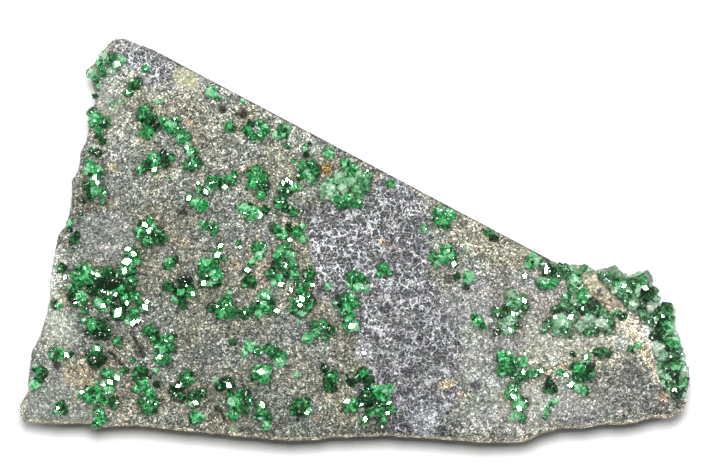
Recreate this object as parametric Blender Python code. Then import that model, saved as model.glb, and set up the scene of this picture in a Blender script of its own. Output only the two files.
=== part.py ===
"""Uvarovite garnet on matrix: a sawn slab of chromite-bearing rock with crusts of green garnet.

Metres, +Z up. The slab lies on its flat back with the garnets on top. +X runs along its length
and the straight sawn edge faces up and to the right. Places on the slab are given as photograph
pixels (x to the right, y down) and turned into metres by on_slab().
"""

import math
import random

import bmesh
import bpy
from mathutils import Euler, Vector, noise
from mathutils.geometry import delaunay_2d_cdt

MM = 0.001

# Driving sizes
SLAB_LENGTH = 84.0 * MM
SLAB_THICKNESS = 10.6 * MM
GAP = 0.3 * MM

# The photograph's frame
PIXELS_ALONG_SLAB = 672
PHOTO_CENTRE = (355.0, 240.5)
PIXEL = SLAB_LENGTH / PIXELS_ALONG_SLAB

# Outline of the slab, anticlockwise from its top left corner
LEFT_SIDE = (
    (112, 40), (103, 50), (97, 60), (86, 70), (85, 74), (91, 80), (94, 92), (95, 103), (88, 113),
    (88, 128), (86, 142), (80, 152), (80, 162), (78, 170), (71, 182), (72, 195), (69, 213),
    (66, 225), (58, 236), (54, 256), (50, 275), (50, 298), (45, 318), (39, 338), (32, 350),
    (28, 373), (28, 391), (20, 404), (19, 410), (20, 416),
)
LOWER_SIDE = (
    (23, 422), (42, 423), (60, 424), (91, 424), (95, 427), (112, 427), (130, 426), (145, 427),
    (170, 430), (188, 432), (205, 433), (225, 435), (245, 437), (260, 438), (275, 440), (290, 441),
    (320, 440), (330, 438), (358, 437), (386, 436), (395, 437), (412, 438), (430, 439), (459, 441),
    (485, 443), (516, 443), (529, 441), (540, 435), (552, 431), (564, 428), (574, 429), (584, 429),
    (601, 425), (624, 425), (640, 422), (654, 419), (675, 417),
)
RIGHT_END = (
    (678, 402), (670, 395), (663, 384), (659, 370), (656, 357), (656, 345), (652, 332), (646, 321),
    (637, 314), (627, 306), (617, 297), (608, 289), (601, 280),
)
UPPER_RIGHT = ((595, 270), (583, 265), (571, 264), (561, 264))
SAWN_EDGE = ((549, 259), (150, 48))
TOP_LEFT = ((138, 44), (130, 40), (125, 38), (117, 38))
SAWN_EDGE_STEPS = 22

# Broken margins: the edge of the top is chipped back, and the walls run in towards the flat back
RIM_WIDTH = 0.25 * MM
RIM_DROP = 0.5 * MM
EDGE_ROUNDING_WIDTH = 1.4 * MM
EDGE_ROUNDING_DROP = 0.5 * MM
WALL_RINGS = ((0.5, 0.3 * MM), (0.0, 1.1 * MM))
RIGHT_WALL_RINGS = (-0.9 * MM, -1.2 * MM)
WALL_ROUGHNESS = 0.35 * MM
WALL_WAVE = 3.0 * MM
WALL_SMOOTHING = 2

# Relief of the top
GRID_STEP = 3.2 * MM
GRID_JITTER = 0.25
GRID_CLEARANCE = 1.3 * MM
BROAD_RELIEF = 0.55 * MM
BROAD_WAVE = 13.0 * MM
BROAD_LAYER = 0.3
FINE_RELIEF = 0.28 * MM
FINE_WAVE = 3.6 * MM
FINE_LAYER = 7.1

# Hollows and lumps of the top: place, radius in pixels, height in millimetres
LUMPS = (
    (103, 232, 30, 0.5), (154, 62, 26, 0.5), (345, 185, 40, 0.7), (380, 250, 46, -0.5),
    (420, 350, 50, -0.4), (285, 262, 34, 0.6), (110, 292, 34, 0.7), (597, 292, 26, 0.5),
    (575, 318, 34, 0.5), (642, 340, 22, 0.6), (470, 340, 26, -0.3), (630, 385, 34, -0.5),
    (368, 398, 34, 0.5), (512, 366, 26, 0.5), (190, 90, 14, 0.3), (90, 395, 28, 0.4),
    (222, 330, 40, -0.4), (222, 109, 4, -0.5), (246, 114, 4, -0.5), (57, 366, 4, -0.5),
    (280, 322, 5, -0.5), (183, 213, 4, -0.5), (448, 384, 9, 0.35), (318, 232, 24, -0.4),
)
CRACKS = (((135, 340), (144, 360)), ((112, 352), (120, 364)), ((218, 410), (224, 422)))
CRACK_WIDTH = 0.5 * MM
CRACK_DEPTH = 0.5 * MM

# Garnet crystals of each cluster: place and mean radius, in pixels. A cluster of several groups
# is one crust, and each group stands on its own stretch of that crust.
GARNET_CLUSTERS = {
    "garnet_tip_druse": (((104, 58, 7), (115, 60, 7), (105, 71, 7), (96, 78, 5)),),
    "garnet_left_rim_north": (((97, 117, 9), (101, 131, 8)),),
    "garnet_left_rim_middle": (((93, 175, 8), (100, 182, 7), (96, 192, 8)),),
    "garnet_north_ridge": (((145, 115, 8), (146, 128, 7)),),
    "garnet_teal_patch": (((169, 124, 7), (177, 131, 7), (187, 137, 6)),),
    "garnet_ring_by_saw": (((251, 128, 7), (261, 131, 8)),),
    "garnet_north_streak": (((149, 165, 8), (165, 161, 9)),),
    "garnet_north_row": (((215, 183, 9), (230, 180, 8)),),
    "garnet_north_knot": (((256, 176, 8), (256, 187, 8)),),
    "garnet_north_star": (((304, 168, 8), (312, 174, 7)),),
    "garnet_north_middle": (((288, 187, 9), (281, 202, 8), (293, 210, 6)),),
    "garnet_great_north": (
        ((346, 167, 8), (361, 181, 8), (341, 181, 10), (331, 191, 8), (356, 193, 9), (340, 202, 7)),
    ),
    "garnet_west_knot": (((150, 223, 7), (143, 231, 7), (157, 236, 8)),),
    "garnet_west_druse": (((135, 254, 7), (129, 263, 6)),),
    "garnet_bright_west": (((208, 268, 8), (214, 278, 8)),),
    "garnet_left_bright": (((81, 274, 8), (77, 288, 7), (73, 300, 6)),),
    "garnet_west_mass": (
        ((108, 280, 7), (105, 293, 8), (118, 290, 8), (131, 288, 7)),
        ((102, 307, 6), (118, 310, 9), (134, 315, 7), (145, 308, 6)),
    ),
    "garnet_middle_dark": (((188, 286, 7), (183, 299, 8)),),
    "garnet_middle_bright": (((221, 306, 8), (230, 309, 7)),),
    "garnet_centre_row": (((279, 230, 7), (296, 231, 7)),),
    "garnet_centre_mass": (
        ((285, 256, 8), (278, 270, 9), (293, 269, 8), (309, 275, 7)),
    ),
    "garnet_centre_south": (((265, 299, 8), (264, 310, 8)),),
    "garnet_centre_east": (((304, 300, 8), (301, 312, 7)),),
    "garnet_south_ring": (((314, 329, 6), (325, 329, 6), (325, 340, 6), (314, 340, 6)),),
    "garnet_east_knot": (((355, 277, 8), (362, 284, 7)),),
    "garnet_east_drop": (((346, 304, 9), (348, 316, 7), (352, 327, 6)),),
    "garnet_lower_left_north": (((92, 329, 7), (105, 335, 8)),),
    "garnet_lower_left_dark": (((95, 356, 7), (97, 364, 7)),),
    "garnet_lower_left_druse": (((93, 392, 8), (107, 397, 8)),),
    "garnet_south_west_ridge": (((152, 334, 9), (165, 344, 9), (162, 356, 8)),),
    "garnet_south_west_chain": (((142, 375, 9), (145, 388, 9), (150, 401, 9)),),
    "garnet_south_dark": (((185, 382, 9), (179, 393, 9), (194, 396, 8)),),
    "garnet_south_green": (((244, 397, 7), (234, 403, 8), (235, 413, 6)),),
    "garnet_south_bright": (((262, 373, 10),),),
    "garnet_bottom_chain": (((264, 412, 7), (268, 421, 6)),),
    "garnet_bottom_knot": (((297, 406, 7), (306, 408, 8)),),
    "garnet_south_drop": (((330, 382, 9), (326, 371, 7)),),
    "garnet_south_mass": (
        ((364, 376, 8), (371, 389, 8), (383, 394, 9), (355, 403, 9), (369, 404, 8), (382, 411, 9)),
    ),
    "garnet_sawn_flush": (((438, 213, 9), (448, 218, 9)),),
    "garnet_east_bright": (((446, 253, 9), (437, 256, 7)),),
    "garnet_right_mass": (
        ((537, 263, 8), (549, 270, 8), (546, 282, 8), (560, 274, 9)),
        ((573, 284, 9), (580, 297, 8), (593, 306, 9), (563, 309, 8)),
        ((553, 323, 8), (568, 325, 9), (587, 323, 8), (605, 322, 9)),
    ),
    "garnet_right_centre": (
        ((515, 299, 9), (498, 314, 8), (510, 312, 8), (504, 326, 9)),
    ),
    "garnet_lower_right_mass": (
        ((506, 361, 10), (504, 372, 8), (524, 364, 7), (531, 374, 7)),
        ((513, 387, 9), (520, 402, 10), (519, 415, 8)),
    ),
    "garnet_lower_right_dark": (((549, 387, 8),),),
    "garnet_right_square": (((603, 353, 7),),),
    "garnet_right_gem": (((582, 364, 8), (586, 375, 8), (580, 387, 7)),),
}
AT_THE_EDGE = ("garnet_sawn_flush", "garnet_tip_druse", "garnet_left_rim_north")
SMALL_CLUSTER = 3
FOOTPRINT_SIDES = 8
SMALL_FOOTPRINT_SIDES = 7
PLATE_MARGIN = 0.04 * MM
PLATE_LAP = 0.15 * MM
POCKET_TOP = 2 * SLAB_THICKNESS

# Crust beside the right end: crystals on a band of garnet that follows the broken end of the rock
CRUST_NAME = "garnet_right_end_crust"
CRUST_OUTER = (
    (688, 396), (687, 384), (685, 371), (681, 358), (677, 345), (672, 333), (668, 322), (668, 312),
    (662, 306), (652, 299), (650, 290), (648, 280), (640, 276), (628, 279), (618, 271), (604, 271),
)
CRUST_TOP = (
    (610, 275, 10), (624, 284, 9), (643, 280, 9), (645, 295, 10), (634, 304, 8), (664, 312, 10),
    (668, 328, 10), (655, 325, 7), (671, 343, 10), (661, 352, 8), (678, 358, 9), (668, 369, 9),
    (680, 375, 8), (678, 390, 9),
)
CRUST_FLANK = ((644, 284), (666, 318), (673, 342), (679, 364), (681, 384))
CRUST_FLANK_HEIGHT = 4.2 * MM
CRUST_FLANK_RADII = (1.04 * MM, 1.38 * MM)
CRUST_GAP = 0.36 * MM
CRUST_FOOT = 1.6 * MM
CRUST_LEVEL = SLAB_THICKNESS - 0.3 * MM
END_LAP = 2
END_BACK = 20.0 * MM

# Small lone crystals, grown into the rock
LONE_GARNETS = (
    (230, 127, 6), (328, 153, 6), (74, 239, 6), (170, 263, 7), (57, 305, 6), (210, 226, 7),
    (383, 270, 6), (254, 349, 7), (226, 384, 7), (61, 407, 7), (197, 419, 8), (478, 323, 6),
    (494, 243, 6), (547, 411, 5), (247, 211, 7), (257, 211, 7), (192, 154, 7), (192, 165, 8),
    (57, 353, 8), (40, 384, 7), (275, 354, 8), (199, 203, 8), (249, 279, 7), (110, 378, 7),
    (137, 86, 7), (280, 130, 7), (288, 137, 7),
)

# How a crystal sits: its centre above the rock, in radii, and its flat seat's depth in the rock
CRYSTAL_LIFT = 0.2
SEAT_DEPTH = 0.35 * MM
CRYSTAL_STRETCH = 0.07
MOST_TILT = math.radians(26)
SEED = 21
NEAREST_POINTS = 1e-9
DOUBLES = 2e-6
FLAT_ANGLE = math.radians(0.05)

ROCK_COLOUR = (0.36, 0.34, 0.30, 1.0)
ROCK_ROUGHNESS = 0.85
GARNET_COLOUR = (0.03, 0.30, 0.09, 1.0)
GARNET_ROUGHNESS = 0.12
GARNET_TRANSMISSION = 0.3


def on_slab(pixel_x, pixel_y):
    """Metres from the middle of the slab to a pixel of the photograph."""
    return (pixel_x - PHOTO_CENTRE[0]) * PIXEL, (PHOTO_CENTRE[1] - pixel_y) * PIXEL


def spots(places):
    return [Vector(on_slab(*place)) for place in places]


def sawn_places():
    """Pixel places at even steps along the sawn edge, ends included."""
    (start_x, start_y), (end_x, end_y) = SAWN_EDGE
    shares = [step / SAWN_EDGE_STEPS for step in range(SAWN_EDGE_STEPS + 1)]
    return [(start_x + (end_x - start_x) * t, start_y + (end_y - start_y) * t) for t in shares]


def whole_outline():
    """All outline points, and the kind of side that each lies on."""
    stretches = (
        ("broken", LEFT_SIDE + LOWER_SIDE), ("crusted", RIGHT_END), ("broken", UPPER_RIGHT),
        ("sawn", sawn_places()), ("broken", TOP_LEFT),
    )
    points = []
    kinds = []
    for kind, places in stretches:
        points += spots(places)
        kinds += [kind] * len(places)
    return points, kinds


BROKEN_MARGIN = spots(TOP_LEFT + LEFT_SIDE + LOWER_SIDE)


def distance_to_line(point, line):
    """Distance from a point to the nearest of the segments through the points of line."""
    nearest = math.inf
    for start, end in zip(line, line[1:]):
        run = end - start
        share = max(0.0, min(1.0, (point - start).dot(run) / run.length_squared))
        nearest = min(nearest, (point - start - run * share).length)
    return nearest


def is_inside(point, loop):
    inside = False
    for start, end in zip(loop, loop[1:] + loop[:1]):
        if (start.y > point.y) != (end.y > point.y):
            crossing = start.x + (end.x - start.x) * (point.y - start.y) / (end.y - start.y)
            if point.x < crossing:
                inside = not inside
    return inside


def relief(point):
    """Waves, lumps, hollows and cracks of the top, as height over its mean."""
    broad = noise.noise(Vector((point.x / BROAD_WAVE, point.y / BROAD_WAVE, BROAD_LAYER)))
    fine = noise.noise(Vector((point.x / FINE_WAVE, point.y / FINE_WAVE, FINE_LAYER)))
    height = BROAD_RELIEF * broad + FINE_RELIEF * fine
    for pixel_x, pixel_y, radius, rise in LUMPS:
        away = (point - Vector(on_slab(pixel_x, pixel_y))).length / (radius * PIXEL)
        height += rise * MM * math.exp(-away * away)
    for ends in CRACKS:
        away = distance_to_line(point, spots(ends))
        height -= CRACK_DEPTH * max(0.0, 1.0 - away / CRACK_WIDTH)
    return height


def surface_height(x, y):
    """Height of the rock's top over the flat back, rounded off at the broken margins."""
    point = Vector((x, y))
    away = distance_to_line(point, BROKEN_MARGIN)
    share = max(0.0, 1.0 - away / EDGE_ROUNDING_WIDTH)
    return SLAB_THICKNESS + relief(point) - EDGE_ROUNDING_DROP * share * share


def smoothed(points, kinds, times):
    """The loop with its broken stretches evened out."""
    for _ in range(times):
        smoother = []
        for index, point in enumerate(points):
            around = points[index - 1] + points[(index + 1) % len(points)]
            smoother.append((around + point * 2) / 4 if kinds[index] == "broken" else point)
        points = smoother
    return points


def moved_in(points, distances, roughness=0.0, level=0.0):
    """The loop's points moved inwards by a distance each, with a wobble where that isn't 0."""
    result = []
    for index, point in enumerate(points):
        along_edge = (points[(index + 1) % len(points)] - points[index - 1]).normalized()
        inwards = Vector((-along_edge.y, along_edge.x))
        distance = distances[index]
        if distance:
            distance += roughness * noise.noise(Vector((point.x, point.y, level)) / WALL_WAVE)
        result.append(point + inwards * distance)
    return result


def top_grid(loop, pockets):
    """Jittered points of a triangular grid inside the loop and clear of the pockets."""
    generator = random.Random(SEED)
    row_step = GRID_STEP * math.sqrt(3) / 2
    lines = [loop + loop[:1]] + [corners + corners[:1] for corners, _ in pockets]
    found = []
    rows = int(SLAB_LENGTH / row_step)
    for row in range(-rows, rows + 1):
        for column in range(-rows, rows + 1):
            shift = Vector((generator.uniform(-1, 1), generator.uniform(-1, 1)))
            point = Vector(((column + 0.5 * (row % 2)) * GRID_STEP, row * row_step))
            point += shift * GRID_JITTER * GRID_STEP
            if not is_inside(point, loop) or any(is_inside(point, corners) for corners, _ in pockets):
                continue
            if min(distance_to_line(point, line) for line in lines) > GRID_CLEARANCE:
                found.append(point)
    return found


def side_rings(rim_heights):
    """Rings of 3-D points down the side walls, from the rim to the flat back."""
    outline, kinds = whole_outline()
    base = smoothed(outline, kinds, WALL_SMOOTHING)
    rings = [[point.to_3d() + Vector((0, 0, z)) for point, z in zip(outline, rim_heights)]]
    for (share, inset), right_inset in zip(WALL_RINGS, RIGHT_WALL_RINGS):
        insets = {"broken": inset, "sawn": 0.0, "crusted": right_inset}
        roughness = WALL_ROUGHNESS if share else 0.0
        loop = moved_in(base, [insets[kind] for kind in kinds], roughness, share)
        rings.append([point.to_3d() + Vector((0, 0, z * share)) for point, z in zip(loop, rim_heights)])
    return rings


def rim_inset(kinds):
    return [0.0 if kind == "sawn" else RIM_WIDTH for kind in kinds]


def rock_mesh(pockets):
    """The slab: relief and pockets on top, rough walls, a sawn face and a flat back."""
    outline, kinds = whole_outline()
    top_loop = moved_in(outline, rim_inset(kinds))
    places = list(top_loop)
    edges = loop_edges(0, len(top_loop))
    for corners, _ in pockets:
        edges += loop_edges(len(places), len(corners))
        places += corners
    places += top_grid(top_loop, pockets)
    flat, _, triangles, origins, _, _ = delaunay_2d_cdt(places, edges, [], 1, NEAREST_POINTS)
    shape = bmesh.new()
    vertex_of = {}
    for place, sources in zip(flat, origins):
        vertex = shape.verts.new((place.x, place.y, surface_height(place.x, place.y)))
        for source in sources:
            vertex_of[source] = vertex
    shape.verts.ensure_lookup_table()
    for ends in triangles:
        middle = sum((flat[end] for end in ends), Vector((0.0, 0.0))) / 3
        if not any(is_inside(middle, corners) for corners, _ in pockets):
            shape.faces.new([shape.verts[end] for end in ends])
    upper = [vertex_of[index] for index in range(len(top_loop))]
    for ring in side_rings([vertex.co.z - RIM_DROP for vertex in upper]):
        upper = skirt(shape, upper, ring)
    shape.faces.new(upper)
    first = len(top_loop)
    for corners, floor in pockets:
        upper = [vertex_of[first + index] for index in range(len(corners))]
        shape.faces.new(skirt(shape, upper, [(corner.x, corner.y, floor) for corner in corners]))
        first += len(corners)
    bmesh.ops.triangulate(shape, faces=[face for face in shape.faces if len(face.verts) == 4])
    bmesh.ops.recalc_face_normals(shape, faces=shape.faces)
    return shape


def loop_edges(first, count):
    return [(first + index, first + (index + 1) % count) for index in range(count)]


def skirt(shape, upper, points):
    """Joins a loop of vertices to a new loop at the points, with a band of faces."""
    lower = [shape.verts.new(point) for point in points]
    for index in range(len(upper)):
        after = (index + 1) % len(upper)
        shape.faces.new((upper[index], lower[index], lower[after], upper[after]))
    return lower


class Crystal:
    """A rhombic dodecahedron of garnet: its centre, mean radius, turn and stretch."""

    MEAN_RADIUS = 1.88

    def __init__(self, centre, radius, generator):
        self.centre = Vector(centre)
        self.radius = radius
        tilts = [generator.uniform(-MOST_TILT, MOST_TILT) for _ in range(2)]
        self.turn = Euler((tilts[0], tilts[1], generator.uniform(0, math.tau))).to_matrix()
        self.stretch = [1.0 + generator.uniform(-1, 1) * CRYSTAL_STRETCH for _ in range(3)]

    def corner(self, direction):
        stretched = Vector([value * size for value, size in zip(direction, self.stretch)])
        return self.centre + self.turn @ (stretched * self.radius / self.MEAN_RADIUS)

    def shell(self):
        """The crystal as a closed shell of twelve rhombic faces."""
        shape = bmesh.new()
        corners = {}

        def vertex(*parts):
            direction = [0, 0, 0]
            for axis, value in parts:
                direction[axis] = value
            key = tuple(direction)
            if key not in corners:
                corners[key] = shape.verts.new(self.corner(key))
            return corners[key]

        for axis in range(3):
            other = (axis + 1) % 3
            third = (axis + 2) % 3
            for side in (1, -1):
                for far in (1, -1):
                    shape.faces.new((
                        vertex((axis, 2 * side)),
                        vertex((axis, side), (other, far), (third, 1)),
                        vertex((other, 2 * far)),
                        vertex((axis, side), (other, far), (third, -1)),
                    ))
        bmesh.ops.recalc_face_normals(shape, faces=shape.faces)
        return shape


def cut_off(shape, point, outwards):
    """Removes what lies beyond a plane and closes the cut."""
    geometry = shape.verts[:] + shape.edges[:] + shape.faces[:]
    bmesh.ops.bisect_plane(shape, geom=geometry, plane_co=point, plane_no=outwards, clear_outer=True)
    open_edges = [edge for edge in shape.edges if edge.is_boundary]
    if open_edges:
        bmesh.ops.holes_fill(shape, edges=open_edges)
    bmesh.ops.recalc_face_normals(shape, faces=shape.faces)


def standing_crystal(place, generator):
    """A crystal that stands on the rock at this pixel place."""
    x, y = on_slab(place[0], place[1])
    radius = place[2] * PIXEL
    return Crystal((x, y, surface_height(x, y) + CRYSTAL_LIFT * radius), radius, generator)


def prism(corners, low, high):
    """A closed upright prism on a loop of plan points."""
    shape = bmesh.new()
    lower = [shape.verts.new((corner.x, corner.y, low)) for corner in corners]
    upper = [shape.verts.new((corner.x, corner.y, high)) for corner in corners]
    for index in range(len(corners)):
        after = (index + 1) % len(corners)
        shape.faces.new((lower[index], lower[after], upper[after], upper[index]))
    shape.faces.new(upper)
    shape.faces.new(list(reversed(lower)))
    bmesh.ops.recalc_face_normals(shape, faces=shape.faces)
    return shape


def footprint(points, count, turn, outwards):
    """Corners of the smallest outline of so many sides around plan points, moved outwards."""
    step = math.tau / count
    sides = []
    for index in range(count):
        angle = turn + index * step
        direction = Vector((math.cos(angle), math.sin(angle)))
        sides.append((direction, max(point.dot(direction) for point in points) + outwards))
    corners = []
    for index in range(count):
        (first, reach), (second, next_reach) = sides[index], sides[(index + 1) % count]
        spread = first.x * second.y - first.y * second.x
        x = (reach * second.y - next_reach * first.y) / spread
        y = (first.x * next_reach - second.x * reach) / spread
        corners.append(Vector((x, y)))
    return corners


def object_from(shape, name):
    mesh = bpy.data.meshes.new(name)
    shape.to_mesh(mesh)
    shape.free()
    made = bpy.data.objects.new(name, mesh)
    bpy.context.scene.collection.objects.link(made)
    return made


def combined(body, shapes, operation):
    """Joins all the closed shapes to the body, or cuts them from it. The shapes are used up."""
    tools = bpy.data.collections.new("tools")
    bpy.context.scene.collection.children.link(tools)
    for shape in shapes:
        tool = object_from(shape, "tool")
        bpy.context.scene.collection.objects.unlink(tool)
        tools.objects.link(tool)
    modifier = body.modifiers.new("combine", "BOOLEAN")
    modifier.operation = operation
    modifier.operand_type = "COLLECTION"
    modifier.collection = tools
    graph = bpy.context.evaluated_depsgraph_get()
    result = bpy.data.meshes.new_from_object(body.evaluated_get(graph))
    body.modifiers.remove(modifier)
    old = body.data
    body.data = result
    bpy.data.meshes.remove(old)
    for tool in list(tools.objects):
        mesh = tool.data
        bpy.data.objects.remove(tool)
        bpy.data.meshes.remove(mesh)
    bpy.data.collections.remove(tools)


def linked_piece(start):
    """All vertices that edges join to this one."""
    piece = {start}
    queue = [start]
    while queue:
        for edge in queue.pop().link_edges:
            for vertex in edge.verts:
                if vertex not in piece:
                    piece.add(vertex)
                    queue.append(vertex)
    return piece


def tidy_body(body, colour, roughness, transmission):
    """Merges stray doubles, keeps the largest closed piece and gives the node its material."""
    shape = bmesh.new()
    shape.from_mesh(body.data)
    bmesh.ops.remove_doubles(shape, verts=shape.verts, dist=DOUBLES)
    bmesh.ops.dissolve_limit(
        shape, angle_limit=FLAT_ANGLE, verts=shape.verts, edges=shape.edges
    )
    pieces = []
    unseen = set(shape.verts)
    while unseen:
        pieces.append(linked_piece(next(iter(unseen))))
        unseen -= pieces[-1]
    largest = max(pieces, key=len)
    loose = [vertex for vertex in shape.verts if vertex not in largest]
    bmesh.ops.delete(shape, geom=loose, context="VERTS")
    bmesh.ops.triangulate(shape, faces=shape.faces)
    shape.to_mesh(body.data)
    shape.free()
    body.data.materials.clear()
    body.data.materials.append(material(body.name + "_finish", colour, roughness, transmission))


def material(name, colour, roughness, transmission):
    made = bpy.data.materials.new(name)
    made.use_nodes = True
    shader = made.node_tree.nodes["Principled BSDF"]
    shader.inputs["Base Color"].default_value = colour
    shader.inputs["Roughness"].default_value = roughness
    shader.inputs["Transmission Weight"].default_value = transmission
    return made


def garnet_cluster(name, groups):
    """One node of grown-together crystals, and the plans and floor of the pocket it sits in."""
    generator = random.Random(name)
    crystals = [[standing_crystal(place, generator) for place in places] for places in groups]
    heights = [surface_height(c.centre.x, c.centre.y) for group in crystals for c in group]
    seat = min(heights) - SEAT_DEPTH
    level = sum(heights) / len(heights)
    lone = len(heights) == 1
    sides = SMALL_FOOTPRINT_SIDES if len(heights) <= SMALL_CLUSTER else FOOTPRINT_SIDES
    turn = generator.uniform(0, math.tau)
    shells = []
    pockets = []
    for group in crystals:
        corners = []
        feet = []
        foot = seat if lone else level - PLATE_LAP
        for crystal in group:
            shell = crystal.shell()
            cut_off(shell, Vector((0.0, 0.0, foot)), Vector((0.0, 0.0, -1.0)))
            corners += [vertex.co.to_2d() for vertex in shell.verts]
            feet += [vertex.co.to_2d() for vertex in shell.verts if vertex.co.z < level]
            shells.append(shell)
        if not lone:
            shells.append(prism(footprint(feet, sides, turn, PLATE_MARGIN), seat, level))
        pockets.append((footprint(corners, sides, turn, GAP), seat - GAP))
    node = object_from(shells[0], name)
    if shells[1:]:
        combined(node, shells[1:], "UNION")
    tidy_body(node, GARNET_COLOUR, GARNET_ROUGHNESS, GARNET_TRANSMISSION)
    return node, pockets


def rock_end_with_gap():
    """A coarse copy of the rock's right end, larger by the gap, to cut the crust clear of it."""
    outline, kinds = whole_outline()
    top_loop = moved_in(outline, rim_inset(kinds))
    rim_heights = [surface_height(point.x, point.y) - RIM_DROP for point in top_loop]
    rings = side_rings(rim_heights)
    above = [point.to_3d() + Vector((0, 0, POCKET_TOP)) for point in top_loop]
    below = [point - Vector((0, 0, SLAB_THICKNESS)) for point in rings[-1]]
    first = kinds.index("crusted") - END_LAP
    last = first + len(RIGHT_END) + 2 * END_LAP
    shape = bmesh.new()
    loops = []
    for ring in [above] + rings + [below]:
        grown = moved_in([point.to_2d() for point in ring], [-CRUST_GAP] * len(ring))
        stretch = [spot.to_3d() + Vector((0, 0, point.z)) for spot, point in zip(grown, ring)]
        stretch = stretch[first:last]
        ends = [Vector((END_BACK, end.y, end.z)) for end in (stretch[-1], stretch[0])]
        loops.append([shape.verts.new(point) for point in stretch + ends])
    for upper, lower in zip(loops, loops[1:]):
        for index in range(len(upper)):
            after = (index + 1) % len(upper)
            shape.faces.new((upper[index], lower[index], lower[after], upper[after]))
    shape.faces.new(loops[0])
    shape.faces.new(list(reversed(loops[-1])))
    bmesh.ops.triangulate(shape, faces=shape.faces)
    bmesh.ops.recalc_face_normals(shape, faces=shape.faces)
    return shape


def right_end_crust():
    """Crystals beside the right end, seen from above and down its flank, as one crust."""
    generator = random.Random(CRUST_NAME)
    shells = []
    for place in CRUST_TOP:
        shell = standing_crystal(place, generator).shell()
        cut_off(shell, Vector((0.0, 0.0, CRUST_LEVEL - PLATE_LAP)), Vector((0.0, 0.0, -1.0)))
        shells.append(shell)
    for place in CRUST_FLANK:
        x, y = on_slab(*place)
        radius = generator.uniform(*CRUST_FLANK_RADII)
        shells.append(Crystal((x, y, CRUST_FLANK_HEIGHT), radius, generator).shell())
    loop = spots(CRUST_OUTER) + spots(list(reversed(RIGHT_END)))
    band = prism(loop, CRUST_FOOT, CRUST_LEVEL)
    node = object_from(band, CRUST_NAME)
    combined(node, shells, "UNION")
    combined(node, [rock_end_with_gap()], "DIFFERENCE")
    tidy_body(node, GARNET_COLOUR, GARNET_ROUGHNESS, GARNET_TRANSMISSION)
    return node


def centred(nodes):
    """Moves the meshes so that the middle of the whole box's underside is the origin."""
    corners = [vertex.co for node in nodes for vertex in node.data.vertices]
    low = Vector([min(corner[axis] for corner in corners) for axis in range(3)])
    high = Vector([max(corner[axis] for corner in corners) for axis in range(3)])
    middle = (low + high) / 2
    for node in nodes:
        for vertex in node.data.vertices:
            vertex.co -= Vector((middle.x, middle.y, low.z))
        node.data.update()


def main():
    for item in list(bpy.data.objects):
        bpy.data.objects.remove(item)
    nodes = []
    closed_pockets = []
    open_pockets = []
    for name, groups in GARNET_CLUSTERS.items():
        node, pockets = garnet_cluster(name, groups)
        nodes.append(node)
        if len(pockets) > 1 or name in AT_THE_EDGE:
            open_pockets += pockets
        else:
            closed_pockets += pockets
    nodes.append(right_end_crust())
    rock = object_from(rock_mesh(closed_pockets), "matrix_slab")
    generator = random.Random("lone garnets")
    lone = [standing_crystal(place, generator).shell() for place in LONE_GARNETS]
    combined(rock, lone, "UNION")
    combined(rock, [prism(corners, floor, POCKET_TOP) for corners, floor in open_pockets], "DIFFERENCE")
    tidy_body(rock, ROCK_COLOUR, ROCK_ROUGHNESS, 0.0)
    centred(nodes + [rock])


main()
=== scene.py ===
"""The finished look of a uvarovite garnet specimen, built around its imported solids.

Metres, +Z up. The slab lies on its flat back and the camera looks straight down on its crystals.
Places on the slab are photograph pixels (x to the right, y down) in a frame of 708 by 472, and
on_slab() turns them into metres from the slab's middle.
"""

import math
import random

import bmesh
import bpy
import numpy as np
from mathutils import Matrix, Quaternion, Vector, noise
from mathutils.geometry import delaunay_2d_cdt

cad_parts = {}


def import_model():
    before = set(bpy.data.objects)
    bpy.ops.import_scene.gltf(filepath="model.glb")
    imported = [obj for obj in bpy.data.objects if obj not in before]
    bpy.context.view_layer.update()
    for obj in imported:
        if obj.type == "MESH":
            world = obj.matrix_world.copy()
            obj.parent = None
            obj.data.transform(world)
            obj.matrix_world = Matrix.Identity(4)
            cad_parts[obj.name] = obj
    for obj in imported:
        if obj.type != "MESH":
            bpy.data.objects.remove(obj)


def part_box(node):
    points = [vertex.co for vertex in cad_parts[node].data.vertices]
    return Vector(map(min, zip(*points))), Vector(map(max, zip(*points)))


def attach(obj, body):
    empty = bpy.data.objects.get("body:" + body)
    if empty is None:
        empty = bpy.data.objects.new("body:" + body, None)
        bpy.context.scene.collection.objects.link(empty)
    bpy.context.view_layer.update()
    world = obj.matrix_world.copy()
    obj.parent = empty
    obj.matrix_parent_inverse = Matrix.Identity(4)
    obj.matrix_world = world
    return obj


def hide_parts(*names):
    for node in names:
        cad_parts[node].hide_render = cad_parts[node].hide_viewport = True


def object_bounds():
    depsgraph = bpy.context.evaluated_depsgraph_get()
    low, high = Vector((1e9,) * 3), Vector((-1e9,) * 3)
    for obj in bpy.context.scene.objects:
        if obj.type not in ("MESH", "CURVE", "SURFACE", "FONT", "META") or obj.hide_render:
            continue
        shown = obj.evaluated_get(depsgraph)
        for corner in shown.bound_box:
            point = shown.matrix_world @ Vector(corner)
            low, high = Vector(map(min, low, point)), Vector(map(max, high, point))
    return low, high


MM = 0.001

# Sizes of the slab
SLAB_LENGTH = 84.0 * MM
SLAB_THICKNESS = 10.6 * MM
PIXELS_ALONG_SLAB = 672
PIXEL = SLAB_LENGTH / PIXELS_ALONG_SLAB
PHOTO_CENTRE = (355.0, 240.5)
SLAB_LOW_PIXEL = (19, 443)
FRAME_PIXELS = (708, 472)

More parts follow.
